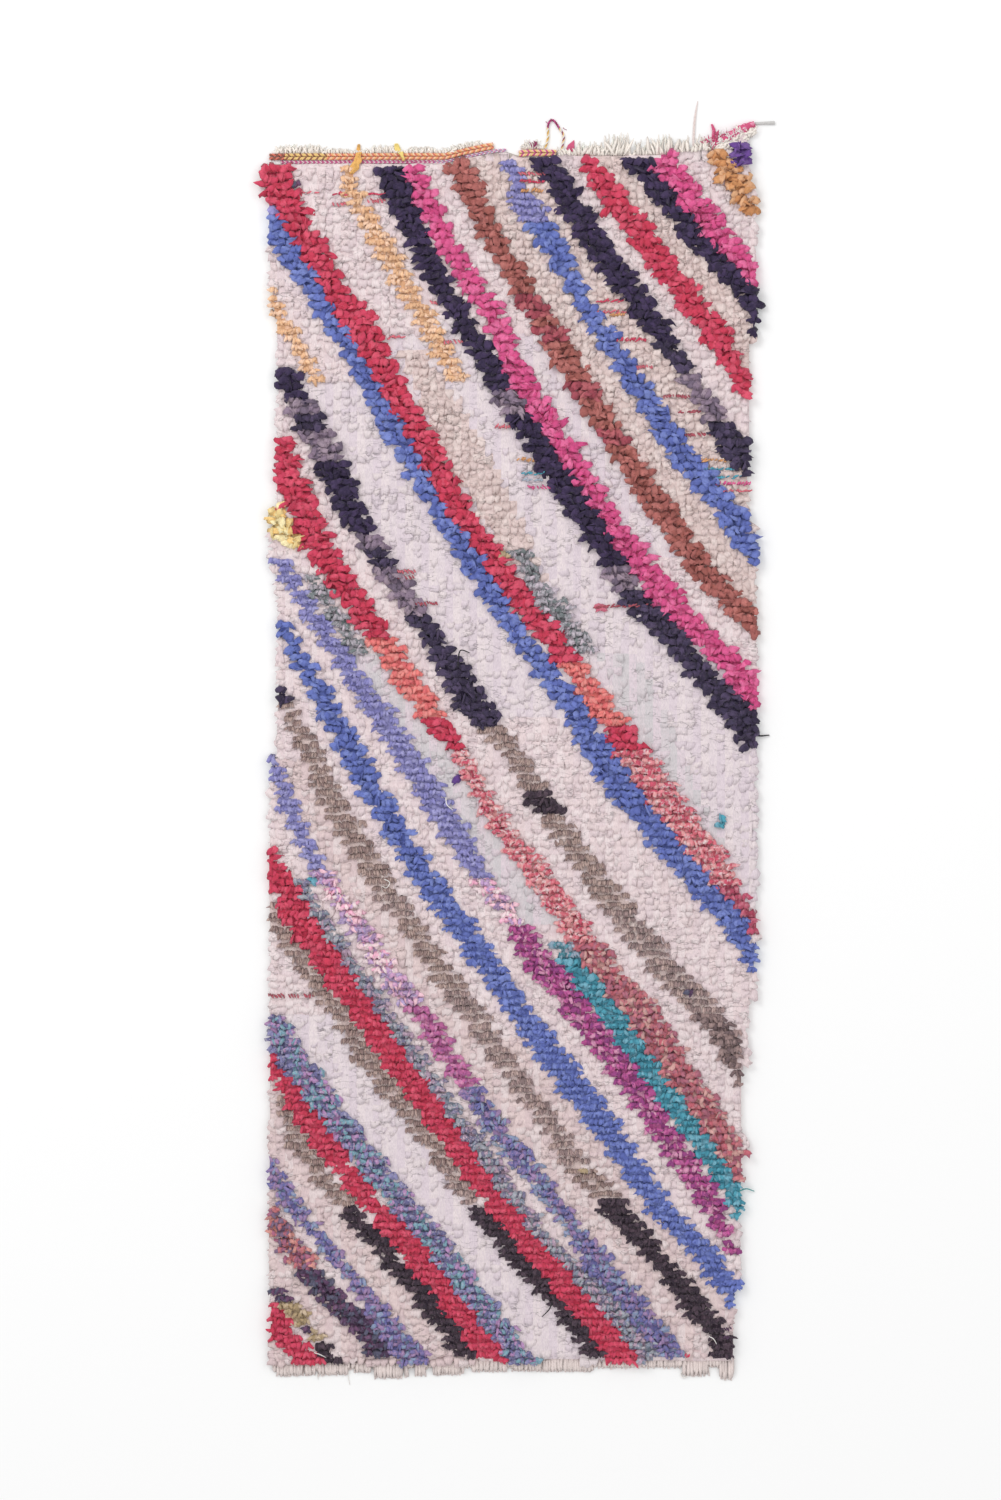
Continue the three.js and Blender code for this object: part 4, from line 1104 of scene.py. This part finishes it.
def smooth_route(points, step=1.5):
    """A smooth line through points, with a place every step of its length."""
    points = np.array([(*point, 0)[:3] for point in points], dtype=float)
    padded = np.vstack([2 * points[0] - points[1], points, 2 * points[-1] - points[-2]])
    line = []
    for k in range(1, len(padded) - 2):
        p0, p1, p2, p3 = padded[k - 1 : k + 3]
        for t in np.linspace(0, 1, 12, endpoint=False):
            bend = (2 * p0 - 5 * p1 + 4 * p2 - p3) * t**2 + (3 * p1 - p0 - 3 * p2 + p3) * t**3
            line.append(0.5 * (2 * p1 + (p2 - p0) * t + bend))
    line.append(points[-1])
    return resampled(np.array(line), step)


def lengths_along(line):
    """How far each point of a line is from its start."""
    return np.concatenate([[0], np.cumsum(np.linalg.norm(np.diff(line, axis=0), axis=1))])


def resampled(line, step):
    lengths = lengths_along(line)
    count = max(int(lengths[-1] / step), 3)
    at = np.linspace(0, lengths[-1], count + 1)
    return np.stack([np.interp(at, lengths, line[:, axis]) for axis in range(3)], axis=-1)


def crosswise(line):
    """The level direction across a line at each of its points."""
    along = np.gradient(line, axis=0)
    across = np.stack([-along[:, 1], along[:, 0], np.zeros(len(line))], axis=-1)
    return across / np.maximum(np.linalg.norm(across, axis=1, keepdims=True), 1e-9)


def read_evenly(along, values):
    """A number or a list, evenly spread from 0 to 1, read at each place along."""
    values = np.atleast_1d(values)
    at = np.linspace(0, 1, len(values))
    if values.ndim == 1:
        return np.interp(along, at, values)
    return np.stack([np.interp(along, at, column) for column in values.T], axis=-1)


class Threads:
    """Tubes to be swept along their routes, then joined as one piece."""

    def __init__(self):
        self.parts = []

    def sweep(self, line, width, height, dye, sides=5, fleck=None, mottle=0.3):
        """One tube. width and height are numbers, or lists that are read along the route."""
        form = tube_form(len(line) - 1, sides)
        along, across, up = form.points.T
        centre = read_evenly(along, line)
        out = read_evenly(along, crosswise(line))
        points = centre + out * (across * read_evenly(along, width))[:, None]
        points[:, 2] += up * read_evenly(along, height)
        points[:, 2] = np.maximum(points[:, 2], 0.0)
        color = linear(dye)[None, :]
        mark = np.array([[*linear(fleck if fleck is not None else np.array(dye) * 0.8), mottle]])
        # Tubes get no painted root shade: their share along is one everywhere.
        self.parts.append((form._replace(share=np.ones(len(points))), points[None] * MM, color, mark))

    def twine(self, line, radius, pitch, thickness, dyes, turn=1, flat=1.0, sides=5):
        """Yarns wound round each other along a line."""
        out = crosswise(line)
        lengths = lengths_along(line)
        for k, dye in enumerate(dyes):
            angle = turn * 2 * math.pi * lengths / pitch + 2 * math.pi * k / len(dyes)
            strand = line + out * (radius * np.cos(angle))[:, None]
            strand[:, 2] += radius * flat * np.sin(angle)
            self.sweep(strand, thickness, thickness * flat, dye, sides)

    def piece(self, name, material, slot, *nodes):
        piece = joined(name, *zip(*self.parts), material, slot)
        if nodes:
            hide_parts(*nodes)
        return piece


# How far over the pile's head the middle of each cord and the fringe's strip lie, in mm
THIN_LIFT = GAP + THIN_CORD / 2
THICK_LIFT = GAP + THIN_CORD + GAP + THICK_CORD / 2
STRIP_LIFT = THICK_LIFT + THICK_CORD / 2 + GAP
YARNS = {
    "peach": (246, 206, 170), "orange": (242, 180, 124), "rust": (220, 124, 106), "gold": (240, 204, 134),
    "brown": (150, 96, 80), "pink": (226, 130, 170), "lavender": (196, 176, 214), "magenta": (204, 84, 146),
    "warp": (250, 241, 232), "grey_warp": (232, 217, 213), "white": (238, 234, 230), "plum": (150, 60, 100),
    "mustard": (214, 166, 72), "grey": (202, 200, 198), "black": (44, 40, 46), "teal": (70, 150, 150),
}


def along_head(start, end, lift, step=1.5):
    """A line over the head of the pile, at a distance from it."""
    return np.array([(x, head_y(x) + lift, 0.0) for x in np.arange(start, end, step)])


def twined_cord(name, line, width, height, pitch, sections, slot, node):
    """Two twined rows side by side, turned against each other, so that their yarns meet in a herringbone."""
    threads = Threads()
    out = crosswise(line)
    for side in (-1, 1):
        row = line + out * side * width / 4
        row[:, 2] = height / 2
        for start, end, dyes in sections:
            part = row[(row[:, 0] >= start) & (row[:, 0] < end + 2)]
            if len(part) > 3:
                colors = [YARNS[dye] for dye in dyes]
                threads.twine(part, width / 9, pitch, width / 3.3, colors, side, height / width * 1.35)
    return threads.piece(name, YARN, slot, node)


# The twined rows' yarns: x from and to, in mm, and the yarns in turn
THICK_SECTIONS = [
    (-450, -420, ("brown", "rust")), (-420, -345, ("gold", "gold", "brown")),
    (-345, 0, ("peach", "orange", "rust")),
]
THIN_SECTIONS = [(-430, -150, ("pink", "white", "magenta")), (-150, 0, ("pink", "lavender", "white"))]
SHORT_SECTIONS = [(-5, 90, ("peach", "gold", "magenta"))]
THICK_HEIGHT = 8  # mm
THIN_HEIGHT = 5
THICK_PITCH = 11  # mm for one turn of the yarns
THIN_PITCH = 8


def make_heading():
    thick = along_head(-447, -43, THICK_LIFT)
    twined_cord("orange_twining", thick, THICK_CORD, THICK_HEIGHT, THICK_PITCH, THICK_SECTIONS,
                "twined_yarn", "heading_cord_orange")
    thin = along_head(-427, -19, THIN_LIFT)
    twined_cord("pink_twining", thin, THIN_CORD, THIN_HEIGHT, THIN_PITCH, THIN_SECTIONS,
                "thin_twining", "heading_cord_pink")
    short = smooth_route(SHORT_CORD)
    twined_cord("short_twining", short, THICK_CORD, THICK_HEIGHT, THICK_PITCH, SHORT_SECTIONS,
                "twined_yarn", "heading_cord_short")


def fringe_end(threads, rng, x, edge, outward, reach, width, loose, dye):
    """One fine warp end; loose ends lean and wave, cut ends stand side by side."""
    shares = np.linspace(0, 1, 6)
    lean = rng.normal(0, 1 + 3 * loose) * shares**1.5
    wave = rng.normal(0, 0.3 + 1.6 * loose) * np.sin(shares * 5)
    height = rng.uniform(1.2, 4.0) * (1 - 0.6 * shares) + 0.4
    out = FRINGE_STRIP / 2 + reach * shares
    line = np.stack([x + lean + wave, edge(x) + outward * out, height], axis=-1)
    shade = np.clip(np.array(dye) * rng.uniform(0.93, 1.05), 0, 250)
    widths = [width, width * 0.9, width * (0.8 - 0.5 * loose)]
    threads.sweep(line, widths, [width * 0.8, width * 0.5], shade, 4)


def make_fringe(name, groups, span, edge, outward, width, node, seed, dye, loose=1.0, extra=None):
    """Warp ends out of a narrow strip, in groups, with shorter ones all along between them."""
    rng = np.random.default_rng(seed)
    threads = Threads()
    strip = np.array([(x, edge(x) + outward * FRINGE_STRIP / 2, 1.5) for x in np.linspace(*span, 60)])
    threads.sweep(strip, FRINGE_STRIP, 3.0, dye, 4)
    shortest = min(group.reach for group in groups)
    for group in groups:
        ends = int((group.end - group.start) / width * 1.25)
        for k in range(ends):
            x = group.start + (group.end - group.start) * (k + rng.uniform(0.2, 0.8)) / ends
            reach = group.reach * rng.uniform(0.95 - 0.3 * loose, 1.02 + 0.12 * loose)
            fringe_end(threads, rng, x, edge, outward, reach, width, loose, dye)
    for x in np.arange(span[0] + 2, span[1] - 2, width):
        if not any(group.start <= x <= group.end for group in groups):
            reach = shortest * rng.uniform(0.35, 0.75)
            fringe_end(threads, rng, x, edge, outward, reach, width, loose, dye)
    if extra:
        extra(threads)
    return threads.piece(name, WARP, "warp_cotton", node)


def long_warp_end(threads):
    """The one long warp end at the head, of two loose yarns."""
    for offset in (-0.9, 0.9):
        points = [
            (317 + offset, 1066, 2), (317.5 + offset, 1095, 2.2), (320 + offset, 1128, 1.8), (325, 1158, 1.2),
        ]
        threads.sweep(smooth_route(points, 5), [2.6, 2.4, 2.2, 1.2], [2.4, 1.2], YARNS["grey_warp"], 5)


def plum_tuft(threads):
    """A tuft of plum yarn among the warp ends over the short heading."""
    rng = np.random.default_rng(11)
    for _ in range(7):
        x = 31 + rng.normal(0, 2.5)
        y = 1074 + rng.normal(0, 1)
        points = [(x, y, 2.5), (x + rng.normal(0, 3), y + 6, 4), (x + rng.normal(0, 4), y + 11, 2.5)]
        threads.sweep(smooth_route(points, 4), [2.4, 1.2], [2.2, 1.2], YARNS["plum"], 5)


def foot_curl(threads):
    """The white warp end at the foot that has curled into a ring."""
    turn = np.linspace(0.4, 2 * math.pi + 0.2, 20)
    line = np.stack([300.6 + 6 * np.cos(turn), -1137 + 6 * np.sin(turn), np.full(20, 2.0)], axis=-1)
    threads.sweep(line, 2.4, 2.4, YARNS["white"], 5)


def reach_at(groups, x):
    """How far the fringe reaches at a place; between its groups it is short."""
    for group in groups:
        if group.start <= x <= group.end:
            return group.reach
    return min(group.reach for group in groups) * 0.6


def make_locks(name, groups, span, edge, outward, step, width, loose, dye, seed):
    """Locks of warp over a fringe's fine ends: soft and leaning where loose, flat and straight where cut."""
    rng = np.random.default_rng(seed)
    tuck, base = (2, 3.0) if loose > 0.5 else (5, 5.4)
    tufts = Tufts()
    for x in np.arange(span[0] + 2, span[1] - 2, step):
        reach = reach_at(groups, x) * rng.uniform(0.85 - 0.3 * loose, 1.0)
        color = linear(np.array(dye) * rng.uniform(0.94, 1.02))
        tufts.add(
            color, color * 0.8, 0.3,
            x=x + rng.normal(0, 0.3 * step), y=edge(x) - outward * tuck, z=base, sunk=2.9,
            yaw=outward * math.pi / 2 + rng.normal(0, 0.03 + 0.28 * loose), reach=reach + tuck + 1,
            height=rng.uniform(1, 2 + 4 * loose), droop=rng.uniform(1, 3) + base - 3,
            width=width * rng.uniform(0.7, 1.2), thick=2.2, bend=rng.normal(0, 0.3 + 4 * loose),
        )
    return tuft_piece(name, tufts, LOCKS if loose > 0.5 else BUNDLES, WARP, "warp_cotton", seed)


def left_edge(x):
    return head_y(x) + STRIP_LIFT


def right_edge(x):
    return head_y(x) + GAP


def middle_edge(x):
    return MIDDLE_EDGE


def foot_edge(x):
    return foot_y(x) - GAP


MIDDLE_EDGE = 1071.2  # mm, y over the short twining
LEFT_SPAN = (-437, -63)  # mm, x from and to
RIGHT_SPAN = (72, 366)
MIDDLE_SPAN = (6, 47)
FOOT_SPAN = (-437, 388)


def make_fringes():
    warp = YARNS["warp"]
    grey = YARNS["grey_warp"]
    make_fringe("left_warp_ends", WARP_ENDS_LEFT, LEFT_SPAN, left_edge, 1, 2.3, "warp_ends_left", 0, warp)
    make_locks("left_warp_locks", WARP_ENDS_LEFT, LEFT_SPAN, left_edge, 1, 2.604, 4.2, 1.0, warp, 0)
    make_fringe("right_warp_ends", WARP_FRINGE_RIGHT, RIGHT_SPAN, right_edge, 1, 3.0, "warp_fringe_right", 1,
                warp, extra=long_warp_end)
    make_locks("right_warp_locks", WARP_FRINGE_RIGHT, RIGHT_SPAN, right_edge, 1, 4.03, 6.5, 1.0, warp, 1)
    make_fringe("middle_warp_ends", WARP_ENDS_MIDDLE, MIDDLE_SPAN, middle_edge, 1, 2.3, "warp_ends_middle", 5,
                warp, extra=plum_tuft)
    make_fringe("foot_warp_ends", WARP_FRINGE_FOOT, FOOT_SPAN, foot_edge, -1, 3.4, "warp_fringe_foot", 6,
                grey, 0.15, foot_curl)
    make_locks("foot_warp_locks", WARP_FRINGE_FOOT, FOOT_SPAN, foot_edge, -1, 3.8, 7.5, 0.1, grey, 6)


def make_loop():
    """The loop of loose yarn at the head: its legs are ochre and white, its top is plum."""
    threads = Threads()
    line = smooth_route(LOOP, 1.2)
    line[:, 2] = 2.5
    first, last = np.flatnonzero(line[:, 1] > LOOP_TOP)[[0, -1]]
    for part, dyes in (
        (line[: first + 2], ("gold", "white", "mustard")),
        (line[first : last + 1], ("plum", "magenta", "plum")),
        (line[last - 1 :], ("gold", "plum", "white")),
    ):
        threads.twine(part, 1.05, 12, 2.2, [YARNS[dye] for dye in dyes])
    for x, y in ((51, 1121), (60, 1126), (82, 1110)):
        wisp = smooth_route([(x, y, 2.5), (x + 3, y - 3, 3), (x + 7, y - 4, 2)], 2)
        threads.sweep(wisp, [1.4, 0.8], 1.3, YARNS["plum"], 4)
    return threads.piece("twisted_loop", YARN, "loop_yarn", "yarn_loop")


WRAP = (206, 84, 124)
WRAP_FLECK = (236, 170, 196)
THREADS_OVER_TAIL = 26


def make_tail():
    """The pink wrapped tail at the corner, loose white threads over it, and the grey yarn out of its end."""
    rng = np.random.default_rng(21)
    threads = Threads()
    line = smooth_route(TAIL, 1.6)
    shares = np.linspace(0, 1, len(line))
    widths = np.interp(shares, np.linspace(0, 1, len(TAIL_WIDTHS)), TAIL_WIDTHS)
    line[:, 2] = widths * 0.38
    for offset, share in ((-0.2, 0.62), (0.2, 0.6), (0.0, 0.7)):
        lump = 1 + 0.22 * np.sin(shares * 55 + offset * 40) * rng.uniform(0.6, 1.0, len(line))
        roll = line + crosswise(line) * (widths * offset)[:, None]
        roll[:, 2] += 1.4 * (offset == 0)
        wide = widths * share
        threads.sweep(roll, wide * lump, wide * 0.9, WRAP, 8, fleck=WRAP_FLECK, mottle=0.7)
    nub = smooth_route(NUB, 2)
    nub[:, 2] = 2.6
    threads.sweep(nub, NUB_WIDTHS, [5.6, 4.8, 4.8], WRAP, 8, fleck=WRAP_FLECK, mottle=0.6)
    out = crosswise(line)
    for _ in range(THREADS_OVER_TAIL):
        middle = int(rng.uniform(0.02, 0.75) * len(line))
        reach = rng.uniform(0.5, 1.1) * widths[middle]
        direction = out[middle] * rng.choice((-1, 1)) + np.array([rng.normal(0, 0.5), rng.normal(0, 0.5), 0])
        start = line[middle] - direction * reach / 2
        aside = np.array([rng.normal(0, 2), rng.normal(0, 2), 0])
        thread = smooth_route([start, line[middle] + aside, start + direction * reach], 2.0)
        from_middle = np.abs((thread - line[middle]) @ out[middle])
        thread[:, 2] = line[middle][2] + np.sqrt(np.maximum((widths[middle] * 0.44) ** 2 - from_middle**2, 4))
        threads.sweep(thread, [1.6, 1.0], 1.4, YARNS["white"], 4)
    threads.piece("wrapped_tail", JERSEY, "pink_wrap", "corner_tail")
    end = Threads()
    line = smooth_route(TAIL_END, 1.4)
    line[:, 2] = 2.7
    end.sweep(line, TAIL_END_WIDTHS, [4.6, 4.6, 5.2, 3.6], YARNS["grey"], 8)
    end.piece("grey_tail_end", YARN, "grey_yarn", "corner_tail_end")


def make_corner_fluff():
    """Off-white warp fluff under the wrapped tail, and pink and white ends where its wrap comes undone."""
    rng = np.random.default_rng(31)
    tufts = Tufts()
    line = smooth_route(TAIL, 1.6)
    for share in np.linspace(0.1, 0.92, 70):
        x, y, _ = line[int(share * (len(line) - 1))]
        color = linear(YARNS["warp"]) * rng.uniform(0.92, 1.0)
        tufts.add(
            color, color * 0.8, 0.3, x=x + rng.normal(0, 3), y=y - rng.uniform(5, 20), z=5.0, sunk=2.9,
            yaw=rng.normal(0.7, 0.5), reach=rng.uniform(11, 19), height=rng.uniform(2, 6), droop=2.5,
            width=rng.uniform(4, 7), thick=2.4, bend=rng.normal(0, 4),
        )
    for share in np.linspace(0.0, 0.42, 44):
        x, y, _ = line[int(share * (len(line) - 1))]
        color = linear(YARNS["white"] if rng.random() < 0.45 else WRAP) * rng.uniform(0.85, 1.05)
        tufts.add(
            color, color * 0.8, 0.4, x=x + rng.normal(-6, 8), y=y + rng.normal(1, 5), z=7.0, sunk=2.9,
            yaw=rng.uniform(0.2, 2.9), reach=rng.uniform(8, 15), height=rng.uniform(2, 5), droop=2.5,
            width=rng.uniform(2, 3.2), thick=1.8, bend=rng.normal(0, 5),
        )
    return tuft_piece("corner_fluff", tufts, LOCKS, WARP, "warp_cotton", 31)


def make_stray_threads():
    """Single threads that have come loose from the pile and the foot."""
    threads = Threads()
    for yarn, width, points in STRAY_THREADS:
        threads.sweep(smooth_route(points, 3), [width, width, width * 0.6], [width * 0.8], YARNS[yarn], 5)
    return threads.piece("stray_threads", YARN, "loop_yarn")


def make_tie(name, node, path, width, dye):
    """A yellow rag strip over the heading, in three creased layers. path: points, and shares of the width."""
    threads = Threads()
    line = smooth_route([point for point, _ in path], 2.0)
    wide = read_evenly(np.linspace(0, 1, len(line)), [share for _, share in path]) * width
    for offset, share, lift in ((-0.26, 0.55, 0.0), (0.24, 0.5, 0.3), (0.02, 0.42, 0.9)):
        wave = np.sin(np.arange(len(line)) * 0.8 + offset * 30)
        strand = line + np.stack([wide * (offset + 0.06 * wave), 0 * wide, lift + 0.4 * wave], axis=-1)
        threads.sweep(strand, wide * share * (1 + 0.15 * wave), 2.0, dye, 8, mottle=0.6)
    return threads.piece(name, JERSEY, "yellow_rag", node)


def make_ties():
    over = 8 + GAP + 1
    cord = head_y(-289) + THICK_LIFT
    make_tie("yellow_tie", "rag_tie", [
        ((-286, 1080, 2.5), 0.25), ((-286, cord + 9, 4.5), 0.5), ((-286, cord + 5, over), 0.6),
        ((-287, cord - 5, over), 0.75), ((-289, cord - 12, 12), 0.95), ((-294, 1036, 13.5), 1.0),
        ((-299, 1026, 12.5), 0.6)], 16, (230, 176, 100))
    cord = head_y(-211) + THICK_LIFT
    make_tie("small_yellow_tie", "rag_tie_small", [
        ((-219, 1081, 2.5), 0.4), ((-214, cord + 9, 4), 1.0), ((-209, cord + 5, over), 0.8),
        ((-206, cord - 5, over), 0.4), ((-205, 1049, 5.5), 0.3)], 13, (240, 214, 130))


def make_rag_tip():
    """The small pink rag end beside the loop, folded to a point."""
    threads = Threads()
    for points, widths in (
        ([(89, 1065, 1.6), (94, 1073, 1.8), (102, 1087, 1.6)], [8, 11, 1.5]),
        ([(99, 1064, 2.2), (99, 1073, 2.4), (102, 1085, 2)], [7, 7, 1.5]),
    ):
        threads.sweep(smooth_route(points, 2.5), widths, [2.2, 2.4, 1.6], (206, 92, 128), 8, mottle=0.4)
    return threads.piece("pink_rag_tip", JERSEY, "pink_wrap", "rag_tip")


def make_weft_marks():
    """Stitches of coloured weft between pile rows, slanted one after another."""
    tufts = Tufts()
    rng = np.random.default_rng(5)
    for row, first, last, color in WEFT_MARKS:
        slant = rng.choice((1.0, -1.0, 0.35))
        for knot in np.arange(first, last, 0.23):
            if rng.random() < 0.85:
                dye = linear(FABRICS[color].dyes[0]) * rng.uniform(0.85, 1.25)
                tufts.add(
                    dye, dye, 0.0, x=knot_x(knot) + rng.normal(0, 0.6), y=row_y(row) + rng.normal(0, 0.9),
                    z=13.4, yaw=slant + rng.normal(0, 0.2), reach=rng.uniform(5, 8.5), height=1.4, droop=1.0,
                    width=3.1, thick=1.9,
                )
    return tuft_piece("weft_stitches", tufts, BUNDLES, YARN, "mixed_rag", 5)


# The whole rug

make_camera()
make_stage()
foundation = make_foundation()
chart = knot_chart()
make_bed(chart)
tie_pile(chart)
make_heading()
make_fringes()
make_loop()
make_tail()
make_corner_fluff()
make_stray_threads()
make_ties()
make_rag_tip()
make_weft_marks()
